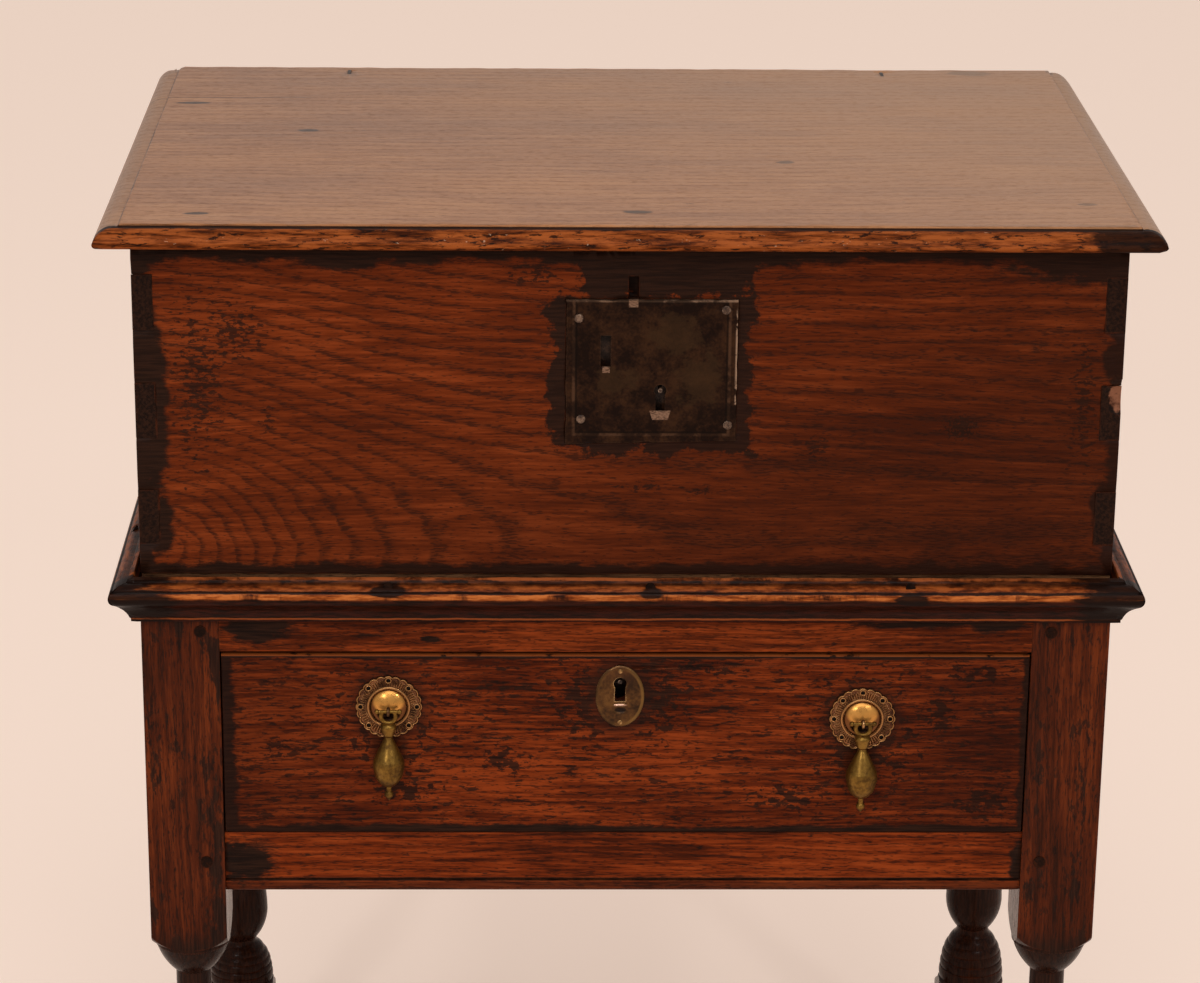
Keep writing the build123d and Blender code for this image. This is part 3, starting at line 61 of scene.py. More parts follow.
# faces, as left, right, bottom, top
BOX_FRONT_SIDES = (-0.3465, 0.3465, 0.668, 0.917)
BOX_END_SIDES = (-0.260, 0.260, 0.668, 0.917)
DRAWER_SIDES = (-0.291, 0.291, 0.471, 0.612)
LOCK_PLATE_SIDES = (-0.0440, 0.0740, 0.7720, 0.9200)

# radii of a handle plate
HANDLE_DOME = 0.0130
HANDLE_BEAD = 0.0146
HANDLE_HOLES = 0.0202
HANDLE_LOBES = 0.0203
LOBE_RADIUS = 0.0039


# ---- node materials --------------------------------------------------------------------------
class Graph:
    """One node material. Each call adds a node and returns its output socket."""

    def __init__(self, name):
        self.material = bpy.data.materials.new(name)
        self.material.use_nodes = True
        self.tree = self.material.node_tree
        self.shader = self.tree.nodes["Principled BSDF"]

    def node(self, kind, inputs, out=0, **settings):
        """A node of a kind, its inputs linked where they are sockets and set where they are values."""
        made = self.tree.nodes.new("ShaderNode" + kind)
        for key, value in settings.items():
            setattr(made, key, value)
        for key, value in inputs.items():
            if isinstance(value, bpy.types.NodeSocket):
                self.tree.links.new(value, made.inputs[key])
            else:
                made.inputs[key].default_value = value
        return made.outputs[out]

    def math(self, operation, a, b=0.0, c=0.0):
        return self.node("Math", {0: a, 1: b, 2: c}, operation=operation)

    def add(self, a, b):
        return self.math("ADD", a, b)

    def mul(self, a, b):
        return self.math("MULTIPLY", a, b)

    def most(self, a, b):
        return self.math("MAXIMUM", a, b)

    def least(self, a, b):
        return self.math("MINIMUM", a, b)

    def both(self, *masks):
        """The product of masks."""
        product = masks[0]
        for mask in masks[1:]:
            product = self.mul(product, mask)
        return product

    def xyz(self):
        """The three object coordinates."""
        place = self.node("TexCoord", {}, out=3)
        split = self.tree.nodes.new("ShaderNodeSeparateXYZ")
        self.tree.links.new(place, split.inputs[0])
        return split.outputs[0], split.outputs[1], split.outputs[2]

    def noise(self, place, scales, offset=0.0, detail=2.0, roughness=0.5):
        """Noise over three coordinates, each with its own fineness per metre."""
        scaled = [self.mul(coordinate, scale) for coordinate, scale in zip(place, scales)]
        scaled[2] = self.add(scaled[2], offset)
        vector = self.node("CombineXYZ", {0: scaled[0], 1: scaled[1], 2: scaled[2]})
        levels = {"Vector": vector, "Scale": 1.0, "Detail": detail, "Roughness": roughness}
        return self.node("TexNoise", levels)

    def step(self, value, low, high, to_low=0.0, to_high=1.0):
        """A smooth step from to_low, where the value is low, to to_high."""
        ends = {"From Min": low, "From Max": high, "To Min": to_low, "To Max": to_high}
        return self.node("MapRange", {"Value": value, **ends}, interpolation_type="SMOOTHSTEP")

    def band(self, value, low, high, soft):
        """1 between low and high, fading outside over soft."""
        return self.mul(self.step(value, low - soft, low), self.step(value, high + soft, high))

    def mix(self, factor, a, b):
        """Colour a where the factor is 0, colour b where it is 1."""
        made = self.tree.nodes.new("ShaderNodeMix")
        made.data_type = "RGBA"
        for index, value in ((0, factor), (6, a), (7, b)):
            if isinstance(value, bpy.types.NodeSocket):
                self.tree.links.new(value, made.inputs[index])
            else:
                made.inputs[index].default_value = value
        return made.outputs[2]

    def ramp(self, factor, stops):
        """Colours along a factor; stops are (position, colour)."""
        made = self.tree.nodes.new("ShaderNodeValToRGB")
        self.tree.links.new(factor, made.inputs[0])
        elements = made.color_ramp.elements
        while len(elements) < len(stops):
            elements.new(0.5)
        for element, (position, colour) in zip(elements, stops):
            element.position = position
            element.color = colour
        return made.outputs[0]

    def edges(self, radius):
        """1 on convex and concave arrises, 0 on flat faces."""
        rounded = self.node("Bevel", {"Radius": radius}, samples=4)
        true_normal = self.node("NewGeometry", {}, out=1)
        facing = self.node("VectorMath", {0: rounded, 1: true_normal}, out=1, operation="DOT_PRODUCT")
        return self.step(facing, 0.985, 0.90)

    def shade_in_hollows(self, distance):
        """1 in corners and crevices, 0 in the open; used as the mask for painted shade."""
        openness = self.node("AmbientOcclusion", {"Distance": distance}, out=1, samples=4)
        return self.step(openness, 0.78, 0.30)

    def finish(self, colour, roughness, height, strength, distance, **levels):
        """Joins colour, roughness and bump to the shader, sets its other levels and gives the material."""
        self.tree.links.new(colour, self.shader.inputs["Base Color"])
        self.tree.links.new(roughness, self.shader.inputs["Roughness"])
        bump = self.node("Bump", {"Strength": strength, "Distance": distance, "Height": height})
        self.tree.links.new(bump, self.shader.inputs["Normal"])
        for key, value in levels.items():
            self.shader.inputs[key.replace("_", " ")].default_value = value
        return self.material


def tone(red, green, blue):
    """An sRGB colour, 0 to 255, as the linear colour that a shader takes."""

    def linear(level):
        return ((level / 255 + 0.055) / 1.055) ** 2.4 if level > 10 else level / 255 / 12.92

    return (linear(red), linear(green), linear(blue), 1.0)


BLACK = tone(24, 13, 9)
SOOT = tone(46, 26, 17)


def inside(g, across, up, places):
    """Above 0 inside an ellipse (centre, centre, half width, half height), falling to -1 away from all."""
    found = None
    for x, z, rx, rz in places:
        dx = g.math("MULTIPLY_ADD", across, 1 / rx, -x / rx)
        dz = g.math("MULTIPLY_ADD", up, 1 / rz, -z / rz)
        near = g.math("SUBTRACT", 1.0, g.math("SQRT", g.add(g.mul(dx, dx), g.mul(dz, dz))))
        found = near if found is None else g.most(found, near)
    return g.most(found, -1.0)


def side_gap(g, across, up, limits, widths):
    """Distance in from the nearest side of a rectangle (left, right, bottom, top), in widths of that side."""
    left, right, bottom, top = limits
    level = g.least(
        g.math("MULTIPLY_ADD", across, 1 / widths[0], -left / widths[0]),
        g.math("MULTIPLY_ADD", across, -1 / widths[1], right / widths[1]),
    )
    upright = g.least(
        g.math("MULTIPLY_ADD", up, 1 / widths[2], -bottom / widths[2]),
        g.math("MULTIPLY_ADD", up, -1 / widths[3], top / widths[3]),
    )
    return g.least(level, upright)


def within(g, across, up, limits, soft):
    """Above 0 inside a rectangle (left, right, bottom, top), up to 1 well inside it and -1 well outside."""
    gap = side_gap(g, across, up, limits, (soft, soft, soft, soft))
    return g.most(g.least(gap, 1.0), -1.0)


def along_rim(g, across, up, limits, widths):
    """Above 0 within each side's width of a rectangle (left, right, bottom, top), falling to -1 inside it."""
    return g.most(g.math("SUBTRACT", 1.0, side_gap(g, across, up, limits, widths)), -1.0)


def ragged(g, potential, across, up, amount=1.9, scales=(30.0, 75.0), fleck=0.6, soft=0.30):
    """Turns a potential into blackened patches with torn edges and flecks round them."""
    torn = g.noise((across, up, across), (scales[0], scales[1], 0.0), 4.0, detail=8.0, roughness=0.70)
    solid = g.step(g.math("MULTIPLY_ADD", g.add(torn, -0.5), amount, potential), -0.02, soft)
    return g.most(solid, flecks(g, potential, across, up, fleck, (scales[0] * 5, scales[1] * 4.2)))


def flecks(g, potential, across, up, strength=0.85, scales=(150.0, 300.0)):
    """Small dark marks, crowded where the potential is high and gone where it is low."""
    dots = g.noise((across, up, across), (scales[0], scales[1], 0.0), 8.0, detail=4.0, roughness=0.62)
    return g.step(g.math("MULTIPLY_ADD", potential, 0.17, dots), 0.60, 0.66, 0.0, strength)


def oak(
    name,
    along,
    seed,
    dark,
    mid,
    light,
    black=BLACK,
    figure=None,
    ring_pitch=0.0065,
    ring_strength=0.35,
    pore_strength=0.6,
    contrast=1.0,
    grime=None,
    blotches=0.3,
    specks=0.3,
    worn=0.35,
    worn_tone=None,
    crevice=0.8,
    roughness=0.40,
    specular=0.05,
    shine=None,
    relief=1.0,
    extra=None,
):
    """Old waxed oak whose fibres run along one axis.

    figure(g, x, y, z) gives the distance from the heart of the log, grime(g, x, y, z) a mask of blackened
    wood, shine(g, x, y, z) the level of shine and extra(g, x, y, z, colour, rub) the last coat of colour.
    """
    waviness = 0.012
    g = Graph(name)
    x, y, z = g.xyz()
    u, v, w = {"x": (x, z, y), "y": (y, x, z), "z": (z, x, y)}[along]
    drift = g.noise((u, v, w), (2.4, 7.0, 7.0), seed, detail=2.0)
    shift = g.add(drift, -0.5)
    v_bent = g.math("MULTIPLY_ADD", shift, waviness * 2, v)
    w_bent = g.math("MULTIPLY_ADD", shift, waviness, w)
    # growth rings
    if figure is None:
        depth = g.math("MULTIPLY_ADD", w_bent, 0.6, v_bent)
    else:
        depth = g.math("MULTIPLY_ADD", shift, waviness, figure(g, x, y, z))
    uneven = g.noise((u, v_bent, w), (1.2, 16.0, 0.0), seed, detail=2.0)
    ripple = g.noise((u, v, w), (36.0, 60.0, 0.0), seed, detail=2.0)
    uneven = g.math("MULTIPLY_ADD", ripple, 0.5, g.mul(uneven, 3.0))
    ring = g.math("FRACT", g.math("MULTIPLY_ADD", depth, 1 / ring_pitch, uneven))
    early = g.mul(g.step(ring, 0.52, 0.16), g.step(ring, 0.0, 0.12))
    # pores, fibres and broad changes of tone
    pore_field = g.noise((u, v_bent, w_bent), (150.0, 1000.0, 1000.0), seed, detail=1.0)
    pores = g.step(g.math("MULTIPLY_ADD", early, 0.12, pore_field), 0.60, 0.68)
    fibres = g.noise((u, v_bent, w_bent), (32.0, 560.0, 560.0), seed, detail=3.0, roughness=0.62)
    streaks = g.noise((u, v_bent, w_bent), (13.0, 170.0, 170.0), seed, detail=4.0, roughness=0.66)
    broad = g.noise((u, v, w), (3.5, 12.0, 12.0), seed, detail=5.0, roughness=0.6)
    level = g.add(g.mul(broad, 0.36), g.add(g.mul(streaks, 0.36), g.mul(fibres, 0.28)))
    spread = 0.075 / contrast
    colour = g.ramp(level, [(0.5 - spread, dark), (0.5, mid), (0.5 + spread, light)])
    ringed = g.mul(early, g.step(fibres, 0.38, 0.58, 0.25 * ring_strength, ring_strength))
    colour = g.mix(ringed, colour, g.mix(0.72, colour, black))
    colour = g.mix(g.mul(pores, pore_strength), colour, black)
    # stains, specks, grime and painted shade in crevices
    stain_field = g.noise((u, v, w), (13.0, 42.0, 42.0), seed * 2.3, detail=7.0, roughness=0.70)
    dirt_and_shade = g.step(stain_field, 0.70 - blotches * 0.25, 0.76 - blotches * 0.25, 0.0, 0.92)
    speck_field = g.noise((u, v, w), (85.0, 330.0, 330.0), seed * 1.7, detail=3.0, roughness=0.65)
    speck_field = g.math("MULTIPLY_ADD", stain_field, 0.25, speck_field)
    dirt_and_shade = g.most(dirt_and_shade, g.step(speck_field, 0.84 - specks * 0.18, 0.90 - specks * 0.18, 0.0, 0.85))
    if grime is not None:
        dirt_and_shade = g.most(dirt_and_shade, grime(g, x, y, z))
    # painted shade in corners and crevices, from ambient occlusion
    dirt_and_shade = g.most(dirt_and_shade, g.mul(g.shade_in_hollows(0.007), crevice))
    colour = g.mix(dirt_and_shade, colour, g.mix(g.step(fibres, 0.36, 0.66), black, SOOT))
    # worn arrises
    rub = g.noise((x, y, z), (70.0, 70.0, 70.0), 0.0, detail=4.0, roughness=0.7)
    edge = g.mul(g.edges(0.0016), g.step(rub, 0.42, 0.60, 0.0, worn))
    colour = g.mix(edge, colour, worn_tone or light)
    if extra is not None:
        colour = extra(g, x, y, z, colour, rub)
    # shine and relief
    rough = g.math("MULTIPLY_ADD", broad, 0.24, roughness - 0.12)
    rough = g.math("MULTIPLY_ADD", pores, 0.12, rough)
    swell = g.noise((u, v, w), (7.0, 34.0, 34.0), seed, detail=3.0)
    height = g.math("MULTIPLY_ADD", fibres, 0.20, swell)
    height = g.math("MULTIPLY_ADD", pores, -0.16, height)
    height = g.math("MULTIPLY_ADD", dirt_and_shade, -0.06, height)
    if shine is not None:
        g.tree.links.new(shine(g, x, y, z), g.shader.inputs["Specular IOR Level"])
    return g.finish(colour, rough, height, 0.55, 0.001 * relief, Specular_IOR_Level=specular)


def metal(
    name,
    dark,
    mid,
    light,
    seed,
    roughness,
    metallic,
    specular=0.5,
    fineness=120.0,
    rub_tone=None,
    rub_level=0.6,
    extra=None,
):
    """Worn metal, with patches of tarnish or rust, bright rubbed edges and painted shade where it is sunk and
    in its holes.

    extra(g, x, y, z, colour, cloud) gives the last coat of colour.
    """
    g = Graph(name)
    x, y, z = g.xyz()
    cloud = g.noise((x, y, z), (fineness, fineness, fineness), seed, detail=6.0, roughness=0.65)
    grain = g.noise((x, y, z), (fineness * 7, fineness * 7, fineness * 7), seed, detail=3.0, roughness=0.6)
    level = g.math("MULTIPLY_ADD", grain, 0.28, g.mul(cloud, 0.72))
    colour = g.ramp(level, [(0.42, dark), (0.50, mid), (0.60, light)])
    # painted shade where the metal is sunk and in its holes
    colour = g.mix(g.mul(g.shade_in_hollows(0.004), 0.85), colour, dark)
    edge = g.mul(g.edges(0.0009), g.step(cloud, 0.38, 0.56, 0.0, rub_level))
    colour = g.mix(edge, colour, rub_tone or light)
    if extra is not None:
        colour = extra(g, x, y, z, colour, cloud)
    rough = g.step(cloud, 0.35, 0.65, roughness + 0.12, roughness - 0.10)
    height = g.math("MULTIPLY_ADD", grain, 0.2, cloud)
    return g.finish(colour, rough, height, 0.5, 0.0005, Metallic=metallic, Specular_IOR_Level=specular)


def paint(node, material):
    """Gives a CAD node one material all over."""
    mesh = nodes[node].data
    mesh.materials.clear()
    mesh.materials.append(material)


# ---- where the wood is blackened, where light and shade are painted on it, and how it is figured ---
def box_front_grime(g, x, y, z):
    """Black rims, the torn halo round the lock plate, patches, flecks and a dotted mark."""
    rim = along_rim(g, x, z, BOX_FRONT_SIDES, (0.016, 0.012, 0.014, 0.019))
    halo = g.most(
        within(g, x, z, (-0.057, 0.086, 0.763, 0.880), 0.020),
        within(g, x, z, (-0.040, 0.092, 0.874, 0.960), 0.026),
    )
    halo = ragged(g, halo, x, z, amount=3.2, scales=(34.0, 40.0), fleck=0.3, soft=0.16)
    solid = inside(g, x, z, [
        (-0.196, 0.907, 0.034, 0.013),
        (-0.333, 0.800, 0.013, 0.090),
        (-0.333, 0.708, 0.016, 0.028),
        (0.326, 0.914, 0.085, 0.032),
        (0.338, 0.832, 0.010, 0.016),
        (0.338, 0.868, 0.010, 0.020),
        (0.334, 0.725, 0.009, 0.020),
    ])
    marks = inside(g, x, z, [
        (-0.068, 0.893, 0.022, 0.011),
        (-0.274, 0.850, 0.026, 0.026),
        (-0.300, 0.815, 0.024, 0.070),
        (-0.252, 0.787, 0.007, 0.012),
        (0.318, 0.800, 0.012, 0.060),
        (0.130, 0.766, 0.014, 0.012),
        (0.010, 0.737, 0.020, 0.005),
        (0.050, 0.735, 0.018, 0.004),
    ])
    found = g.most(halo, ragged(g, g.most(rim, solid), x, z))
    dotted = g.mul(inside(g, x, z, [(0.233, 0.783, 0.017, 0.012)]), 1.6)
    pecked = flecks(g, dotted, x, z, 0.95, (430.0, 430.0))
    return g.most(g.most(found, pecked), flecks(g, g.add(marks, 0.05), x, z))


def box_front_figure(g, x, y, z):
    """Rings cut near the heart of the log: arcs at the lower left that run out into level lines."""
    out = g.math("TANH", g.math("MULTIPLY_ADD", x, 6.5, 0.330 * 6.5))
    dx = g.mul(out, 0.125)
    dz = g.add(z, -0.694)
    return g.math("SQRT", g.add(g.mul(dx, dx), g.mul(dz, dz)))


def box_side_grime(g, x, y, z):
    """Black rims, widest at the front corner."""
    front = g.step(y, BOX_FRONT + 0.030, BOX_FRONT + 0.004, -0.9, 0.7)
    rim = along_rim(g, y, z, BOX_END_SIDES, (0.026, 0.018, 0.012, 0.016))
    return ragged(g, g.most(front, rim), y, z)


def lid_tear(g, x, y, z):
    """The unevenness along the lid's dark lines."""
    return g.noise((x, y, z), (26.0, 60.0, 60.0), 6.0, detail=6.0, roughness=0.7)


def lid_grime(g, x, y, z):
    """Old knots, cracks and holes on the top, and the dark line inside the moulded ends."""
    marks = inside(g, x, y, [
        (-0.236, 0.030, 0.010, 0.005),
        (-0.330, 0.118, 0.016, 0.004),
        (0.005, -0.205, 0.012, 0.005),
        (0.117, -0.062, 0.008, 0.005),
        (0.285, 0.232, 0.020, 0.010),
        (0.322, -0.180, 0.008, 0.004),
        (-0.300, -0.213, 0.010, 0.004),
    ])
    found = g.mul(ragged(g, marks, x, y, amount=1.2, scales=(60.0, 110.0), fleck=0.35), 0.85)
    crack_bend = g.noise((x, y, z), (18.0, 0.0, 0.0), 1.0, detail=3.0)
    crack = g.math("ABSOLUTE", g.math("MULTIPLY_ADD", crack_bend, 0.010, g.add(y, -0.142)))
    crack = g.both(g.step(crack, 0.0012, 0.0004), g.step(x, -0.232, -0.250))
    side_line = g.band(g.math("ABSOLUTE", x), LID_SIDE - 0.0172, LID_QUIRK, 0.0003)
    side_line = g.both(side_line, g.step(lid_tear(g, x, y, z), 0.42, 0.56, 0.1, 0.75))
    return g.most(g.most(found, g.mul(crack, 0.8)), side_line)


def lid_shine(g, x, y, z):
    """The flat top is polished, the front moulding less."""
    return g.step(y, LID_FLAT_END, LID_NOSE_START, 0.5, 0.03)


def lid_moulding(g, x, y, z, colour, rub):
    """The top, lighter to the back and the right as a painted sheen; the orange-brown front moulding with its
    dents, and chipped places that are partly painted glints.
    """
    # painted sheen: the top lighter towards the back and the right
    painted_sheen = g.step(g.math("MULTIPLY_ADD", y, 0.8, x), -0.30, 0.45, 0.0, 0.55)
    colour = g.mix(painted_sheen, colour, tone(180, 134, 98))
    side = g.step(g.math("ABSOLUTE", x), LID_QUIRK, LID_SIDE - 0.0150, 0.0, 0.35)
    colour = g.mix(side, colour, tone(150, 112, 80))
    underside = g.step(z, 0.9156, 0.9151, 0.0, 0.8)
    colour = g.mix(underside, colour, tone(92, 56, 33))
    nose = g.both(g.step(y, LID_FLAT_END, LID_NOSE_START), g.step(z, LID_TOP - 0.0008, LID_TOP - 0.0016))
    run = g.noise((x, y, z), (24.0, 150.0, 260.0), 3.0, detail=6.0, roughness=0.7)
    wood = g.ramp(run, [(0.38, tone(54, 22, 8)), (0.47, tone(108, 50, 18)), (0.57, tone(152, 78, 34))])
    dents = g.noise((x, y, z), (90.0, 260.0, 380.0), 8.0, detail=5.0, roughness=0.7)
    wood = g.mix(g.step(dents, 0.55, 0.60, 0.0, 0.9), wood, BLACK)
    # pale chipped places on the nose, partly painted glints along its lower arris
    chips_and_glints = g.noise((x, y, z), (210.0, 260.0, 420.0), 12.0, detail=3.0, roughness=0.6)
    chips_and_glints = g.step(g.math("MULTIPLY_ADD", dents, 0.35, chips_and_glints), 0.865, 0.905, 0.0, 0.5)
    wood = g.mix(chips_and_glints, wood, tone(206, 164, 134))
    torn = lid_tear(g, x, y, z)
    hollow = g.step(g.math("MULTIPLY_ADD", torn, -0.0040, y), -0.2492, -0.2474)
    right_end = g.step(g.math("MULTIPLY_ADD", torn, 0.08, x), 0.348, 0.366)
    wood = g.mix(g.mul(g.most(hollow, right_end), 0.92), wood, BLACK)
    return g.mix(nose, colour, wood)


def drawer_grime(g, x, y, z):
    """Black rims, dark halos close round the fittings and flecks further out."""
    rim = along_rim(g, x, z, DRAWER_SIDES, (0.012, 0.008, 0.009, 0.004))
    marks = inside(g, x, z, [
        (-0.170, 0.566, 0.042, 0.040),
        (0.172, 0.552, 0.042, 0.050),
        (-0.028, 0.577, 0.024, 0.036),
        (0.022, 0.577, 0.026, 0.034),
        (-0.160, 0.505, 0.026, 0.014),
        (-0.250, 0.540, 0.012, 0.012),
        (0.250, 0.597, 0.026, 0.008),
        (0.262, 0.498, 0.026, 0.014),
        (0.120, 0.500, 0.030, 0.012),
        (-0.090, 0.530, 0.020, 0.012),
        (0.060, 0.602, 0.030, 0.006),
        (0.226, 0.566, 0.014, 0.020),
    ])
    close = [
        (*HANDLES["left"], 0.030, 0.030),
        (*HANDLES["right"], 0.030, 0.030),
        (-0.170, 0.545, 0.014, 0.030),
        (0.170, 0.536, 0.014, 0.030),
        (*ESCUTCHEON, 0.026, 0.032),
    ]
    halo = g.step(inside(g, x, z, close), -0.25, 0.30, 0.0, 0.72)
    found = g.most(halo, ragged(g, rim, x, z, scales=(34.0, 85.0), fleck=0.75))
    return g.most(found, flecks(g, g.add(marks, 0.25), x, z, 0.9, (120.0, 170.0)))


def drawer_wear_and_highlight(g, x, y, z, colour, rub):
    """Darker ends, and the top arris rubbed pale and painted as a highlight."""
    ends = g.step(g.math("ABSOLUTE", x), 0.14, 0.28, 0.0, 0.40)
    colour = g.mix(ends, colour, tone(34, 12, 6))
    # the top arris: rubbed pale wood, also a painted highlight
    arris = g.both(g.step(z, 0.6099, 0.6104), g.step(rub, 0.34, 0.44))
    return g.mix(g.mul(arris, 0.8), colour, tone(150, 76, 34))


def rail_grime(g, x, y, z):
    """Patches by the legs and under the moulding, and the lower rail's dark quirk and bead."""
    marks = inside(g, x, z, [
        (-0.276, 0.450, 0.028, 0.024),
        (0.287, 0.450, 0.008, 0.022),
        (-0.262, 0.632, 0.034, 0.016),
        (-0.140, 0.623, 0.010, 0.003),
        (0.210, 0.637, 0.060, 0.007),
        (0.262, 0.636, 0.034, 0.010),
    ])
    found = ragged(g, g.add(marks, -0.1), x, z, scales=(34.0, 110.0), fleck=0.7)
    quirk = g.mul(g.step(z, 0.4332, 0.4340), g.step(z, 0.4368, 0.4358))
    bead = g.mul(g.step(z, 0.4340, 0.4320), 0.6)
    return g.most(found, g.most(quirk, bead))


def leg_grime(g, x, y, z):
    """Dark turning below torn patches on the square block."""
    turned = g.step(z, 0.398, 0.376, 0.0, 0.9)
    patch = g.noise((x, y, z), (46.0, 46.0, 15.0), 0.0, detail=8.0, roughness=0.70)
    side = g.step(x, 0.0, -0.1, -0.015, 0.035)
    patchy = g.step(g.add(patch, side), 0.565, 0.610, 0.0, 0.9)
    small = g.noise((x, y, z), (150.0, 150.0, 60.0), 5.0, detail=6.0, roughness=0.7)
    patchy = g.most(patchy, g.step(g.math("MULTIPLY_ADD", patch, 0.5, small), 0.83, 0.88, 0.0, 0.8))
    return g.most(g.most(turned, patchy), g.step(z, 0.640, 0.655, 0.0, 0.5))


def moulding_look(g, x, y, z, colour, rub):
    """The moulding's bands: painted shade in the cavetto and in the grooves, a worn ovolo, a bright lip of
    bare worn wood that is also a painted highlight, painted highlights on the top and bottom bands, black
    ends and nail places.
    """
    rise = g.add(z, -MOULDING_LOW)
    along = g.noise((x, y, z), (26.0, 26.0, 0.0), 2.0, detail=6.0, roughness=0.72)
    fine = g.noise((x, y, z), (60.0, 60.0, 420.0), 5.0, detail=5.0, roughness=0.68)
    rise = g.math("MULTIPLY_ADD", g.add(along, -0.5), 0.0030, rise)
    streaky = g.ramp(fine, [(0.36, tone(30, 13, 6)), (0.46, tone(66, 29, 11)), (0.56, tone(112, 55, 24))])
    lip_wood_and_highlight = g.ramp(fine, [(0.36, tone(96, 40, 12)), (0.48, tone(150, 74, 28)), (0.60, tone(190, 106, 50))])
    cove_shade = g.ramp(fine, [(0.40, tone(26, 11, 6)), (0.60, tone(58, 22, 11))])
    colour = g.mix(0.92, colour, streaky)
    ovolo = g.ramp(fine, [(0.36, tone(56, 23, 8)), (0.47, tone(108, 48, 17)), (0.58, tone(150, 76, 32))])
    colour = g.mix(g.band(rise, 0.0268, 0.0298, 0.0006), colour, ovolo)
    # painted shade in the cavetto below the lip
    colour = g.mix(g.step(rise, 0.0218, 0.0204), colour, cove_shade)
    # the lip: bare worn wood, also a painted highlight along it
    lip = g.band(rise, 0.0224, 0.0253, 0.0010)
    bare = g.step(along, 0.36, 0.46)
    colour = g.mix(g.mul(lip, bare), colour, lip_wood_and_highlight)
    # painted shade in the quirk above the lip
    colour = g.mix(g.mul(g.band(rise, 0.0260, 0.0268, 0.0006), 0.9), colour, BLACK)
    # painted shade in the groove above the ovolo
    groove_shade = g.mul(g.band(rise, 0.0300, 0.0312, 0.0008), g.step(along, 0.46, 0.40, 0.5, 0.95))
    colour = g.mix(groove_shade, colour, BLACK)
    # painted highlight on the top band
    fillet_highlight = g.both(g.band(rise, 0.0322, 0.0333, 0.0004), g.step(along, 0.42, 0.54))
    colour = g.mix(fillet_highlight, colour, tone(150, 78, 38))
    # painted highlight on the bottom band, with a line of painted shade above it
    colour = g.mix(g.mul(g.band(rise, 0.0018, 0.0030, 0.0006), 0.8), colour, tone(158, 80, 36))
    colour = g.mix(g.mul(g.band(rise, 0.0034, 0.0040, 0.0006), 0.8), colour, BLACK)
    ends = g.step(g.math("ABSOLUTE", x), 0.285, 0.340, 0.0, 1.25)
    ends = g.math("MULTIPLY_ADD", ends, g.step(y, -0.225, -0.240), -0.8)
    nail_places = [
        (-0.169, 0.0265, 0.012, 0.0050),
        (0.016, 0.0265, 0.010, 0.0045),
        (0.200, 0.0225, 0.012, 0.0050),
    ]
    nails = inside(g, x, rise, nail_places)
    soot = ragged(g, g.most(ends, nails), x, z, amount=2.4, scales=(16.0, 160.0), fleck=0.5)
    return g.mix(g.mul(soot, 0.95), colour, BLACK)


def broken_corner(g, x, y, z, colour, rub):
    """The pale broken place on the right-hand front corner."""
    chip = g.math("MULTIPLY_ADD", rub, 1.2, inside(g, x, z, [(0.3425, 0.803, 0.0075, 0.0090)]))
    chip = g.both(g.step(chip, 0.55, 0.75), g.step(y, BOX_FRONT + 0.010, BOX_FRONT + 0.005))
    bare_wood = g.mix(g.step(rub, 0.42, 0.58), tone(62, 32, 20), tone(142, 92, 68))
    return g.mix(g.mul(chip, 0.85), colour, bare_wood)


def box_shade(g, x, y, z, colour, rub):
    """Darker towards the right and the bottom."""
    slope = g.math("MULTIPLY_ADD", z, -2.2, g.add(x, 2.2 * 0.80))
    colour = g.mix(g.step(slope, -0.25, 0.45, 0.0, 0.55), colour, tone(40, 16, 7))
    return broken_corner(g, x, y, z, colour, rub)


# ---- woods -----------------------------------------------------------------------------------
BOX_SIDE = (tone(56, 22, 9), tone(84, 34, 13), tone(112, 49, 21))
BOX_BACK = (tone(60, 33, 18), tone(84, 48, 27), tone(110, 66, 38))
BOX_BOTTOM = (tone(70, 44, 26), tone(98, 64, 40), tone(124, 86, 56))
SIDE_RAIL = (tone(56, 21, 8), tone(86, 33, 13), tone(114, 48, 21))
STRETCHER = (tone(42, 18, 9), tone(64, 27, 12), tone(90, 40, 18))
DRY = (tone(104, 72, 46), tone(134, 98, 66), tone(160, 124, 88))
DRY_BLACK = tone(62, 42, 28)

paint(
    "box_front",
    oak(
        "oak_box_front",
        "x",
        1.3,
        tone(74, 27, 8),
        tone(104, 41, 13),
        tone(132, 57, 22),
        figure=box_front_figure,
        ring_pitch=0.0092,
        ring_strength=0.62,
        black=tone(31, 17, 11),
        contrast=0.78,
        grime=box_front_grime,
        blotches=0.10,
        specks=0.25,
        extra=box_shade,
    ),
)
# the lid's pale tones are partly a painted sheen over the same brown oak
paint(
    "lid_board",
    oak(
        "oak_lid",
        "x",
        4.1,
        tone(146, 94, 58),
        tone(164, 110, 72),
        tone(178, 124, 84),
        grime=lid_grime,
        blotches=0.0,
        specks=0.1,
        ring_strength=0.14,
        pore_strength=0.25,
        roughness=0.33,
        shine=lid_shine,
        crevice=0.7,
        worn=0.3,
        worn_tone=tone(160, 92, 50),
        extra=lid_moulding,
        relief=0.7,
    ),
)
for side, seed in (("left", 2.2), ("right", 5.6)):
    paint(
        f"box_side_{side}",
        oak(
            f"oak_box_{side}",
            "y",
            seed,
            *BOX_SIDE,
            grime=box_side_grime,
            blotches=0.35,
            extra=broken_corner,
        ),
    )
paint("box_back", oak("oak_box_back", "x", 7.7, *BOX_BACK, blotches=0.25, roughness=0.6))
paint("box_bottom", oak("oak_box_bottom", "x", 8.8, *BOX_BOTTOM, blotches=0.2, roughness=0.7))
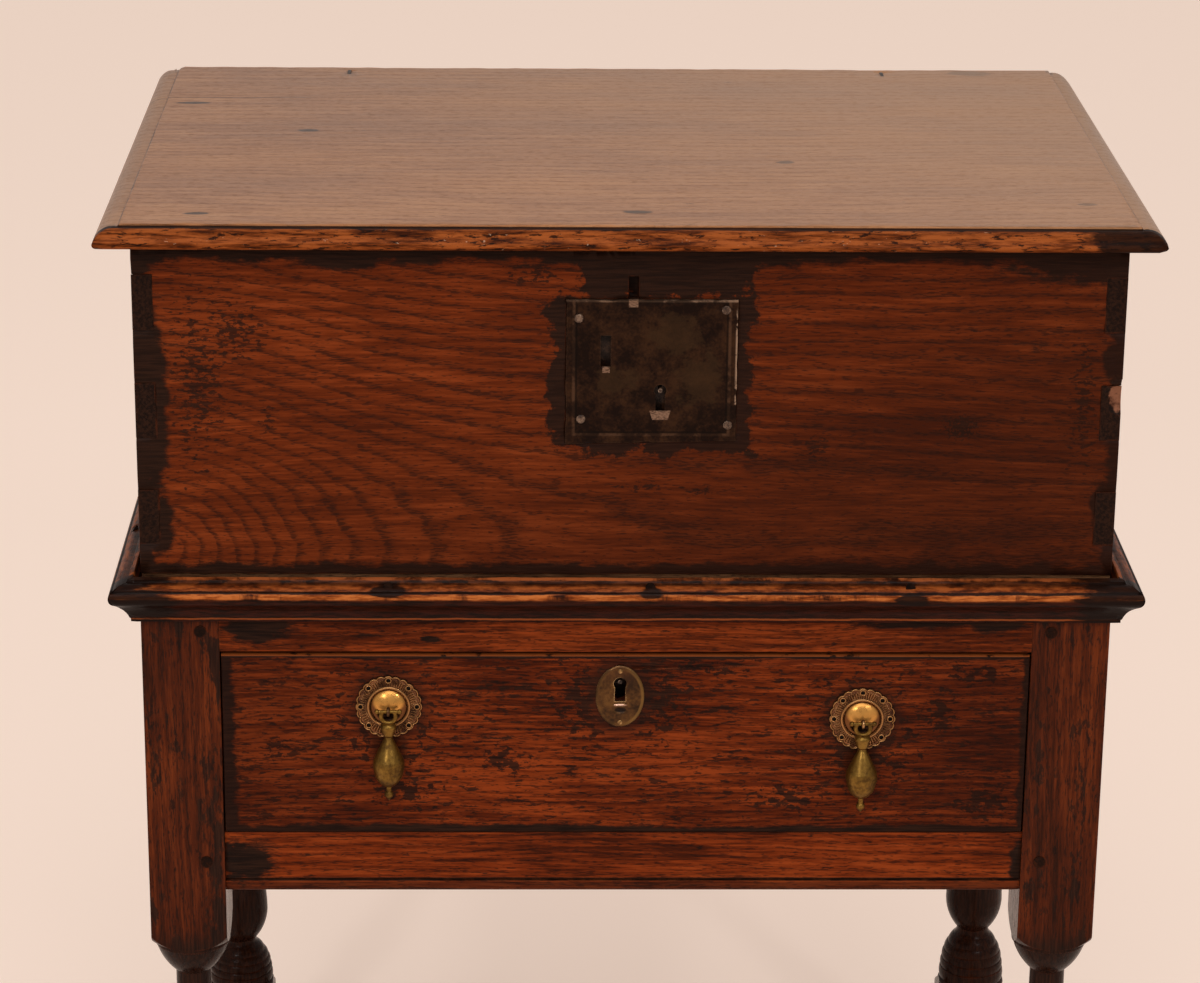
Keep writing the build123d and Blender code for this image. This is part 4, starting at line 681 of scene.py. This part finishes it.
paint(
    "drawer_front",
    oak(
        "oak_drawer_front",
        "x",
        3.4,
        tone(60, 19, 5),
        tone(98, 36, 10),
        tone(138, 57, 20),
        grime=drawer_grime,
        blotches=0.38,
        specks=0.85,
        worn=0.5,
        worn_tone=tone(160, 84, 48),
        ring_strength=0.25,
        roughness=0.36,
        extra=drawer_wear_and_highlight,
    ),
)
for node, along, seed in (
    ("drawer_side_left", "y", 1.1),
    ("drawer_side_right", "y", 2.9),
    ("runner_left", "y", 4.0),
    ("runner_right", "y", 5.0),
    ("kicker_left", "y", 6.0),
    ("kicker_right", "y", 7.0),
    ("drawer_back", "x", 3.3),
    ("drawer_bottom", "x", 9.3),
):
    dry_oak = oak("oak_" + node, along, seed, *DRY, black=DRY_BLACK, blotches=0.15, roughness=0.7, worn=0.2)
    paint(node, dry_oak)
for node, seed, middle in (
    ("rail_front_bottom", 6.1, tone(114, 43, 12)),
    ("rail_front_top", 2.7, tone(98, 38, 12)),
    ("rail_back", 9.2, tone(98, 38, 12)),
):
    paint(
        node,
        oak(
            "oak_" + node,
            "x",
            seed,
            tone(64, 22, 6),
            middle,
            tone(144, 61, 22),
            grime=rail_grime,
            blotches=0.24,
            specks=0.45,
            worn_tone=tone(150, 74, 36),
        ),
    )
for side, seed in (("left", 4.9), ("right", 8.1)):
    paint(f"rail_side_{side}", oak(f"oak_rail_side_{side}", "y", seed, *SIDE_RAIL, blotches=0.3))
    for end, shift in (("front", 0.0), ("back", 0.6)):
        paint(
            f"leg_{end}_{side}",
            oak(
                f"oak_leg_{end}_{side}",
                "z",
                seed + shift,
                tone(48, 18, 6),
                tone(78, 30, 10),
                tone(108, 46, 17),
                contrast=0.75,
                grime=leg_grime,
                blotches=0.12,
                specks=0.4,
                roughness=0.22,
                specular=0.07,
            ),
        )
    paint(f"stretcher_{side}", oak(f"oak_stretcher_{side}", "y", seed + 1.9, *STRETCHER, blotches=0.4))
for end, seed in (("front", 3.1), ("back", 6.6)):
    paint(f"stretcher_{end}", oak(f"oak_stretcher_{end}", "x", seed, *STRETCHER, blotches=0.4))
for node, along, seed in (
    ("moulding_front", "x", 5.5),
    ("moulding_left", "y", 7.5),
    ("moulding_right", "y", 3.6),
):
    paint(
        node,
        oak(
            "oak_" + node,
            along,
            seed,
            tone(50, 20, 8),
            tone(84, 36, 14),
            tone(116, 54, 24),
            blotches=0.0,
            specks=0.1,
            ring_strength=0.1,
            worn=0.25,
            extra=moulding_look,
            roughness=0.30,
            specular=0.06,
        ),
    )
PEG = (tone(24, 11, 6), tone(38, 17, 8), tone(62, 28, 13))
peg_wood = oak("oak_pegs", "y", 1.7, *PEG, blotches=0.4, worn=0.7)
for node in ("rail_pegs", "stretcher_pegs"):
    paint(node, peg_wood)


# ---- metals ----------------------------------------------------------------------------------
def plate_rust_and_glints(g, x, y, z, colour, cloud):
    """Olive-brown rubbed places, a scored line inside the plate's edges, wear at its holes, and painted
    glints along its top and right-hand edges.
    """
    rubbed = [
        (0.030, 0.850, 0.030, 0.020),
        (0.050, 0.815, 0.022, 0.030),
        (-0.010, 0.815, 0.022, 0.014),
    ]
    lighter = inside(g, x, z, rubbed)
    lighter = ragged(g, g.add(lighter, -0.25), x, z, amount=3.0, scales=(48.0, 60.0), fleck=0.4)
    colour = g.mix(g.mul(lighter, 0.55), colour, tone(57, 38, 22))
    gaps = along_rim(g, x, z, LOCK_PLATE_SIDES, (0.004, 0.004, 0.004, 0.004))
    line = g.band(gaps, -0.30, -0.10, 0.30)
    colour = g.mix(g.both(line, g.step(cloud, 0.44, 0.54, 0.1, 0.45)), colour, tone(92, 64, 46))
    colour = g.mix(g.mul(g.band(gaps, -0.75, -0.55, 0.15), 0.6), colour, tone(16, 9, 6))
    from_keyhole = g.math("ABSOLUTE", g.add(x, -0.0213))
    flared = g.step(g.math("MULTIPLY_ADD", g.add(z, -0.7875), -0.30, from_keyhole), 0.0056, 0.0050)
    flared = g.mul(flared, g.band(z, 0.7880, 0.7943, 0.0004))
    slot_foot = g.both(g.band(x, -0.0190, -0.0142, 0.0004), g.band(z, 0.8222, 0.8270, 0.0004))
    hole_foot = g.both(g.band(x, -0.0010, 0.0050, 0.0005), g.band(z, 0.8700, 0.8750, 0.0008))
    grain = g.noise((x, y, z), (500.0, 500.0, 1400.0), 3.0, detail=3.0)
    worn = g.mul(g.most(flared, g.most(slot_foot, hole_foot)), g.step(grain, 0.34, 0.56, 0.25, 0.95))
    colour = g.mix(worn, colour, tone(132, 100, 80))
    # painted glints on the curled top edge, brightest to the right, and down the right-hand edge
    rightward = g.step(g.math("MULTIPLY_ADD", x, 1.6, cloud), 0.46, 0.60, 0.15, 0.85)
    top = g.both(g.step(z, 0.8726, 0.8744), rightward)
    right = g.both(g.step(x, 0.0728, 0.0740), g.band(z, 0.798, 0.862, 0.008), g.step(cloud, 0.47, 0.53))
    return g.mix(g.most(top, right), colour, tone(150, 120, 98))


iron = metal(
    "iron",
    tone(28, 16, 10),
    tone(44, 26, 17),
    tone(68, 43, 28),
    seed=2.0,
    roughness=0.34,
    metallic=0.10,
    specular=0.2,
    rub_tone=tone(128, 104, 90),
)
sunk_iron = metal(
    "iron_sunk",
    tone(14, 8, 5),
    tone(22, 12, 8),
    tone(38, 20, 12),
    seed=4.6,
    roughness=0.7,
    metallic=0.0,
    specular=0.02,
    rub_level=0.1,
)
plate_iron = metal(
    "iron_plate",
    tone(24, 12, 7),
    tone(38, 21, 12),
    tone(54, 32, 18),
    seed=2.6,
    roughness=0.34,
    metallic=0.10,
    specular=0.05,
    fineness=70.0,
    rub_tone=tone(104, 78, 60),
    rub_level=0.25,
    extra=plate_rust_and_glints,
)
nail_iron = metal(
    "iron_rubbed",
    tone(38, 24, 16),
    tone(72, 50, 37),
    tone(126, 99, 80),
    seed=5.2,
    roughness=0.32,
    metallic=0.10,
    specular=0.3,
    fineness=260.0,
    rub_tone=tone(190, 164, 142),
)
for node in ("lock_plate_nails", "lock_pin", "drawer_lock_pin"):
    paint(node, nail_iron)
for node in (
    "lock_case",
    "lock_bolt",
    "hinge_eyes_box",
    "hinge_eyes_lid",
    "runner_nails",
    "box_bottom_nails",
    "drawer_bottom_nails",
    "drawer_lock_case",
    "drawer_lock_nails",
    "drawer_lock_bolt",
):
    paint(node, iron)
paint("lock_plate", plate_iron)
paint("moulding_nails", sunk_iron)


def cast_relief(g, x, y, z, colour, cloud):
    """Handle plates: pale ridges on a brown field, painted shade in the holes, a painted highlight on the
    upper half of each dome and painted shade in the recess below it.
    """
    height = g.math("SUBTRACT", DRAWER_FACE, y)
    colour = g.mix(g.step(height, 0.0011, 0.0017, 0.0, 0.8), colour, tone(168, 120, 72))
    # painted shade where the plate lies lowest: its holes and outer edge
    colour = g.mix(g.step(height, 0.0005, 0.0002), colour, tone(12, 8, 6))
    domes = [(x_mid, z_mid, 0.0132, 0.0132) for x_mid, z_mid in HANDLES.values()]
    dome = g.step(inside(g, x, z, domes), 0.0, 0.06)
    colour = g.mix(dome, colour, tone(108, 66, 32))
    # painted highlight over the upper half of each dome
    dome_highlights = [(x_mid, z_mid + 0.0045, 0.0120, 0.0085) for x_mid, z_mid in HANDLES.values()]
    colour = g.mix(g.step(inside(g, x, z, dome_highlights), -0.05, 0.25), colour, tone(206, 146, 72))
    # painted shade in the recess below each dome
    recess_shade = [(x_mid, z_mid - 0.0065, 0.0086, 0.0040) for x_mid, z_mid in HANDLES.values()]
    return g.mix(g.step(inside(g, x, z, recess_shade), -0.05, 0.20, 0.0, 0.9), colour, tone(26, 14, 8))


def olive_rim(g, x, y, z, colour, cloud):
    """The escutcheon's bevel with a painted highlight towards its right-hand side, and the torn lip, bare
    metal with a painted glint, over a dent filled with painted shade.
    """
    oval = inside(g, x, z, [(*ESCUTCHEON, *ESCUTCHEON_HALF)])
    # painted highlight on the bevel, stronger towards the right
    bevel = g.mul(g.step(oval, 0.16, 0.10), g.step(x, -0.004, 0.006, 0.15, 0.75))
    colour = g.mix(bevel, colour, tone(120, 88, 44))
    colour = g.mix(g.mul(g.step(z, 0.588, 0.600), 0.35), colour, tone(86, 50, 28))
    # painted shade in the dent below the lip
    dent = g.step(inside(g, x, z, [(-0.0040, 0.5697, 0.0046, 0.0018)]), -0.1, 0.25)
    colour = g.mix(g.mul(dent, 0.9), colour, tone(22, 12, 7))
    # the torn lip: bright bare metal and a painted glint
    lip = g.step(inside(g, x, z, [(-0.0042, 0.5737, 0.0044, 0.0008)]), -0.3, 0.3)
    return g.mix(g.mul(lip, 0.85), colour, tone(196, 156, 134))


plate_brass = metal(
    "brass_plate",
    tone(58, 32, 18),
    tone(95, 56, 34),
    tone(124, 80, 48),
    seed=3.0,
    roughness=0.30,
    metallic=0.85,
    fineness=90.0,
    rub_tone=tone(196, 146, 94),
    rub_level=0.6,
    extra=cast_relief,
)
drop_brass = metal(
    "brass_drop",
    tone(84, 58, 20),
    tone(112, 81, 30),
    tone(132, 98, 40),
    seed=4.0,
    roughness=0.42,
    metallic=0.85,
    fineness=70.0,
    rub_tone=tone(196, 156, 88),
    rub_level=0.35,
)
cotter_brass = metal(
    "brass_cotter",
    tone(84, 56, 32),
    tone(124, 88, 52),
    tone(164, 122, 78),
    seed=7.0,
    roughness=0.34,
    metallic=0.85,
    fineness=110.0,
    rub_tone=tone(210, 168, 116),
    rub_level=0.5,
)
pin_brass = metal(
    "brass_pins",
    tone(110, 78, 42),
    tone(160, 118, 66),
    tone(206, 164, 108),
    seed=8.0,
    roughness=0.28,
    metallic=0.60,
    fineness=300.0,
    rub_tone=tone(226, 190, 140),
)
old_brass = metal(
    "brass_escutcheon",
    tone(48, 29, 13),
    tone(74, 47, 21),
    tone(94, 63, 29),
    seed=6.0,
    roughness=0.34,
    metallic=0.80,
    fineness=55.0,
    rub_tone=tone(214, 176, 124),
    rub_level=0.8,
    extra=olive_rim,
)
for side in HANDLES:
    paint(f"handle_plate_{side}", plate_brass)
    paint(f"handle_cotter_{side}", cotter_brass)
    paint(f"handle_drop_{side}", drop_brass)
paint("escutcheon", old_brass)
paint("escutcheon_pins", pin_brass)


# ---- pieces shaped in mesh ---------------------------------------------------------------------
def add_piece(name, bm, node, body, smooth_below=0.6):
    """Turns a mesh under construction into a piece that stands for a CAD node, with that node's materials."""
    mesh = bpy.data.meshes.new(name)
    bm.normal_update()
    bm.to_mesh(mesh)
    bm.free()
    mesh.shade_smooth()
    mesh.set_sharp_from_angle(angle=smooth_below)
    for material in nodes[node].data.materials:
        mesh.materials.append(material)
    piece = bpy.data.objects.new(name, mesh)
    bpy.context.scene.collection.objects.link(piece)
    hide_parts(node)
    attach(piece, body)


def copied(node):
    """A node's mesh, its doubled points joined."""
    bm = bmesh.new()
    bm.from_mesh(nodes[node].data)
    bmesh.ops.remove_doubles(bm, verts=bm.verts, dist=2e-6)
    return bm


def cut_across(bm, along, pitch):
    """Cuts a mesh by planes across one axis, evenly spaced."""
    axis = "xyz".index(along)
    low = min(vert.co[axis] for vert in bm.verts)
    high = max(vert.co[axis] for vert in bm.verts)
    normal = Vector([1.0 if index == axis else 0.0 for index in range(3)])
    cuts = int((high - low) / pitch)
    for index in range(1, cuts):
        place = normal * (low + (high - low) * index / cuts)
        geometry = bm.verts[:] + bm.edges[:] + bm.faces[:]
        bmesh.ops.bisect_plane(bm, geom=geometry, dist=1e-7, plane_co=place, plane_no=normal)


def wear_arrises(bm, depth, dents=()):
    """Rubs convex arrises back unevenly; dents are (place, reach, depth)."""
    bm.normal_update()
    arris = 0.3
    moves = []
    for vert in bm.verts:
        edges = [edge for edge in vert.link_edges if len(edge.link_faces) == 2]
        if not any(edge.calc_face_angle_signed(0.0) > arris for edge in edges):
            continue
        rub = noise.fractal(vert.co * 60.0, 0.8, 2.0, 4)
        amount = depth * max(0.0, 0.4 + 0.7 * rub)
        for place, reach, drop in dents:
            gap = (vert.co - Vector(place)).length / reach
            if gap < 1.0:
                amount = max(amount, drop * (1.0 - gap * gap) * (0.8 + 0.5 * rub))
        moves.append((vert, -vert.normal * amount))
    for vert, move in moves:
        vert.co += move


def worn_board(node, body, cuts, depth, dents=()):
    """A board cut across by (axis, pitch), its arrises rubbed back and dented."""
    bm = copied(node)
    for along, pitch in cuts:
        cut_across(bm, along, pitch)
    wear_arrises(bm, depth, dents)
    add_piece(node + "_worn", bm, node, body)


LID_DENTS = [
    ((0.363, -0.256, 0.917), 0.010, 0.0022),
    ((0.367, -0.250, 0.919), 0.006, 0.0018),
    ((0.205, 0.2445, LID_TOP), 0.012, 0.0015),
    ((-0.353, 0.2445, LID_TOP), 0.010, 0.0016),
]
BOX_DENTS = [
    ((-0.300, BOX_FRONT, 0.915), 0.010, 0.0012),
    ((0.05, BOX_FRONT, 0.915), 0.012, 0.0012),
]
MOULDING_DENTS = [
    ((-0.360, -0.256, 0.660), 0.012, 0.0015),
    ((0.362, -0.256, 0.660), 0.012, 0.0015),
    ((0.14, -0.256, 0.660), 0.010, 0.0008),
]
FRONT_WEAR, SIDE_WEAR = 0.0006, 0.0005
worn_board("lid_board", "lid", (("x", 0.007), ("y", 0.012)), FRONT_WEAR, LID_DENTS)
worn_board("box_front", "box", (("x", 0.008), ("z", 0.012)), FRONT_WEAR, BOX_DENTS)
worn_board("moulding_front", "stand", (("x", 0.006),), FRONT_WEAR, MOULDING_DENTS)
worn_board("moulding_left", "stand", (("y", 0.008),), SIDE_WEAR)
worn_board("moulding_right", "stand", (("y", 0.008),), SIDE_WEAR)
worn_board("drawer_front", "drawer", (("x", 0.007), ("z", 0.010)), FRONT_WEAR)
worn_board("rail_front_bottom", "stand", (("x", 0.007),), FRONT_WEAR)


def polar_plate(name, node, centre, inner, outer, height, rings, steps):
    """A plate on the drawer's face, laid out in rings from an inner to an outer outline.

    inner and outer give a radius for an angle; height gives how far the plate stands out at a place.
    """
    bm = bmesh.new()
    grid = []
    for ring in range(rings + 1):
        share = ring / rings
        row = []
        for step in range(steps):
            angle = 2.0 * math.pi * step / steps
            radius = inner(angle) + (outer(angle) - inner(angle)) * share
            across, up = radius * math.cos(angle), radius * math.sin(angle)
            place = (centre[0] + across, DRAWER_FACE - height(radius, angle), centre[1] + up)
            row.append(bm.verts.new(place))
        grid.append(row)
    backs = [
        [bm.verts.new((vert.co.x, DRAWER_FACE, vert.co.z)) for vert in edge_row]
        for edge_row in (grid[0], grid[-1])
    ]
    rows = [backs[0]] + grid + [backs[1], backs[0]]
    for low, high in zip(rows, rows[1:]):
        for step in range(steps):
            after = (step + 1) % steps
            bm.faces.new((low[step], high[step], high[after], low[after]))
    bmesh.ops.recalc_face_normals(bm, faces=bm.faces)
    add_piece(name, bm, node, "drawer", smooth_below=0.9)


def clipped(share):
    """A share kept between 0 and 1."""
    return min(1.0, max(0.0, share))


def lobed_edge(angle):
    """The scalloped outline of a handle plate, of twenty-four lobes."""
    pitch = math.pi / 12
    turn = (angle + pitch / 2) % pitch - pitch / 2
    lobe = HANDLE_LOBES * math.cos(turn) + math.sqrt(LOBE_RADIUS**2 - (HANDLE_LOBES * math.sin(turn)) ** 2)
    return lobe + 0.0002 * math.sin(3.0 * angle + 1.0)


def plate_middle(angle):
    """The inner outline of a handle plate, all but a point."""
    return 0.0002


def handle_relief(radius, angle):
    """Dome, bead, gadrooned field with holes, and raised rim of a handle plate."""
    across, up = radius * math.cos(angle), radius * math.sin(angle)
    edge = lobed_edge(angle) - radius
    if radius < HANDLE_DOME:
        rise = 0.0012 + 0.0046 * (1.0 - (radius / HANDLE_DOME) ** 2) ** 0.75
        recess = (across / 0.0080) ** 2 + ((up + 0.0065) / 0.0036) ** 2
        return rise - 0.0026 * math.exp(-recess * recess)
    field = 0.0008
    bead = 1.0 - ((radius - HANDLE_BEAD) / 0.0012) ** 2
    if bead > 0.0:
        return field + 0.0016 * math.sqrt(bead)
    nearest = round(angle / (math.pi / 4)) * math.pi / 4
    gap = math.hypot(across - HANDLE_HOLES * math.cos(nearest), up - HANDLE_HOLES * math.sin(nearest))
    ridges, ridge_rise = 64.0, 0.0009
    along = clipped((radius - 0.0160) / 0.0006) * clipped((0.0212 - radius) / 0.0008)
    clear = clipped((gap - 0.0024) / 0.0005)
    rise = field + ridge_rise * along * clear * max(0.0, math.cos(ridges * angle))
    rim = 0.0018
    if edge < rim:
        rise += 0.0011 * math.sin(math.pi * min(1.0, edge / rim))
    hole, hole_rim = 0.0014, 0.0019
    rim_of_hole = 1.0 - ((gap - hole_rim) / 0.0006) ** 2
    if rim_of_hole > 0.0:
        rise = max(rise, field + 0.0009 * math.sqrt(rim_of_hole))
    if gap < hole:
        rise = 0.0001
    return rise * min(1.0, edge / 0.0004 + 0.2)


def key_outline(angle):
    """Radius to the edge of the drawer's keyhole, from a point in its slot."""
    head_up, head_radius, slot_depth = 0.0054, 0.0047, 0.0081
    toward = head_up * math.sin(angle)
    inside_root = head_radius**2 - head_up**2 + toward**2
    head = toward + math.sqrt(inside_root) if inside_root > 0.0 and toward > 0.0 else 0.0
    half_width = 0.0037 + 0.0004 * max(0.0, -math.sin(angle))
    side = half_width / max(1e-6, abs(math.cos(angle)))
    end = slot_depth if math.sin(angle) < 0.0 else head_up
    foot = end / max(1e-6, abs(math.sin(angle)))
    return max(head, min(side, foot))


def oval_edge(angle):
    """Radius to the escutcheon's edge from the same point."""
    half_width, half_height = ESCUTCHEON_HALF
    drop = -0.0047
    a = (math.cos(angle) / half_width) ** 2 + (math.sin(angle) / half_height) ** 2
    b = -2.0 * drop * math.sin(angle) / half_height**2
    c = (drop / half_height) ** 2 - 1.0
    return (-b + math.sqrt(b * b - 4.0 * a * c)) / (2.0 * a)


def crease(across, half_width, off, thickness):
    """1 on the line of a crease, falling to 0 past its ends and off its line."""
    return math.exp(-((across / half_width) ** 4) - (off / thickness) ** 2)


def oval_relief(radius, angle):
    """Bevelled edge, low dome and the torn lip and dent below the keyhole."""
    across, up = radius * math.cos(angle), radius * math.sin(angle)
    edge = oval_edge(angle) - radius
    bevel = 0.0022
    rise = 0.0013 * math.sin(0.5 * math.pi * min(1.0, (edge + 0.0002) / bevel)) ** 0.7
    rise += 0.0005 * math.sin(math.pi * clipped((edge - bevel) / 0.010) / 2)
    lip = crease(across, 0.0042, up + 0.0107 - across * 0.08, 0.0007)
    fold = crease(across, 0.0046, up + 0.0124 - across * across * 40.0, 0.0005)
    foot = crease(across - 0.0005, 0.0032, up + 0.0176 - across * across * 60.0, 0.0005)
    dent = math.exp(-((across / 0.0044) ** 2) - ((up + 0.0148) / 0.0019) ** 2)
    wave = 0.0001 * noise.noise(Vector((across, up, 0.0)) * 250.0)
    return max(0.00005, rise + 0.0011 * lip + 0.0004 * fold + 0.0004 * foot - 0.0010 * dent + wave)


for side, place in HANDLES.items():
    node = f"handle_plate_{side}"
    polar_plate(node + "_cast", node, place, plate_middle, lobed_edge, handle_relief, rings=84, steps=384)
polar_plate(
    "escutcheon_worn",
    "escutcheon",
    DRAWER_KEY_SLOT,
    key_outline,
    oval_edge,
    oval_relief,
    rings=48,
    steps=240,
)

# the box's lock plate: hammered, its top edge curled forward and a line scored inside its edges
PLATE_PITCH = 0.0025
LINE_IN, LINE_HALF, LINE_RISE = 0.0085, 0.0007, 0.0006
CURL_DEPTH, CURL_REACH = 0.0030, 0.0016
WORN_EDGE = 0.0015
bm = copied("lock_plate")
cut_across(bm, "x", PLATE_PITCH)
cut_across(bm, "z", PLATE_PITCH)
plate_low, plate_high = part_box("lock_plate")
for vert in bm.verts:
    x, y, z = vert.co
    gaps = (x - plate_low[0], plate_high[0] - x, z - plate_low[2], plate_high[2] - z)
    gap = min(gaps)
    sway = noise.noise(Vector((x, 0.0, z)) * 45.0)
    hammered = 0.00030 * noise.noise(Vector((x, 0.0, z)) * 110.0) + 0.00045 * sway
    if y < plate_low[1] + 0.0002:
        line = LINE_RISE * math.exp(-(((gap - LINE_IN - 0.0006 * sway) / LINE_HALF) ** 2))
        curl = CURL_REACH * max(0.0, 1.0 - gaps[3] / CURL_DEPTH) * max(0.0, 0.7 + 0.8 * sway)
        vert.co.y -= hammered + line + curl
    if gap < WORN_EDGE:
        inward = 0.0007 * (0.5 + noise.noise(Vector((x, 3.0, z)) * 120.0))
        if gap == gaps[0]:
            vert.co.x += inward
        elif gap == gaps[1]:
            vert.co.x -= inward
        elif gap == gaps[2]:
            vert.co.z += inward
        else:
            vert.co.z -= inward
add_piece("lock_plate_hammered", bm, "lock_plate", "box", smooth_below=0.7)


# ---- floor, light and camera -----------------------------------------------------------------
bpy.ops.mesh.primitive_plane_add(size=24.0, location=(0.0, 2.0, 0.0))
floor = bpy.context.object
floor.name = "floor"
floor_look = Graph("pale_floor")
floor_look.shader.inputs["Base Color"].default_value = tone(240, 222, 208)
floor_look.shader.inputs["Roughness"].default_value = 0.9
floor_look.shader.inputs["Emission Color"].default_value = tone(255, 226, 210)
ray = floor_look.tree.nodes.new("ShaderNodeLightPath").outputs
bent = floor_look.most(ray["Is Glossy Ray"], ray["Is Transmission Ray"])
seen = floor_look.most(ray["Is Camera Ray"], bent)
FLOOR_GLOW = 0.36
floor_look.tree.links.new(floor_look.mul(seen, FLOOR_GLOW), floor_look.shader.inputs["Emission Strength"])
floor.data.materials.append(floor_look.material)

world = bpy.data.worlds.new("studio")
bpy.context.scene.world = world
world.use_nodes = True
sky = world.node_tree.nodes["Background"]
sky.inputs["Color"].default_value = (1.0, 0.94, 0.89, 1.0)
sky.inputs["Strength"].default_value = 0.50


def lamp(name, place, aim, size, power):
    """A round lamp of a size and a power at a place, turned to an aim."""
    data = bpy.data.lights.new(name, "AREA")
    data.shape = "DISK"
    data.size = size
    data.energy = power
    made = bpy.data.objects.new(name, data)
    bpy.context.scene.collection.objects.link(made)
    made.location = place
    made.rotation_mode = "QUATERNION"
    made.rotation_quaternion = (Vector(aim) - Vector(place)).to_track_quat("-Z", "Y")


lamp("ceiling_bounce", (0.0, -1.6, 2.9), (0.0, 0.0, 0.7), size=2.0, power=25.0)
lamp("key_left", (-1.2, -2.8, 2.1), (0.0, -0.1, 0.65), size=0.30, power=14.0)
lamp("key_right", (1.5, -2.3, 2.3), (0.0, -0.1, 0.65), size=0.30, power=10.0)

view_data = bpy.data.cameras.new("photo_view")
view_data.sensor_fit = "HORIZONTAL"
view_data.sensor_width = 36.0
view_data.lens = 111.42
view_data.clip_start = 0.1
view_data.clip_end = 60.0
camera = bpy.data.objects.new("photo_view", view_data)
bpy.context.scene.collection.objects.link(camera)
eye = Matrix.Translation((-0.0758, STAND_FRONT - 2.4660, 1.5932))
pitch, yaw, roll = 0.334932, 0.022612, 0.00968
forward = Vector((math.sin(yaw) * math.cos(pitch), math.cos(yaw) * math.cos(pitch), -math.sin(pitch)))
level_right = Vector((math.cos(yaw), -math.sin(yaw), 0.0))
level_up = level_right.cross(forward)
right = math.cos(roll) * level_right + math.sin(roll) * level_up
up = math.cos(roll) * level_up - math.sin(roll) * level_right
camera.matrix_world = eye @ Matrix((right, up, -forward)).transposed().to_4x4()
bpy.context.scene.camera = camera
bpy.context.scene.view_settings.view_transform = "Standard"
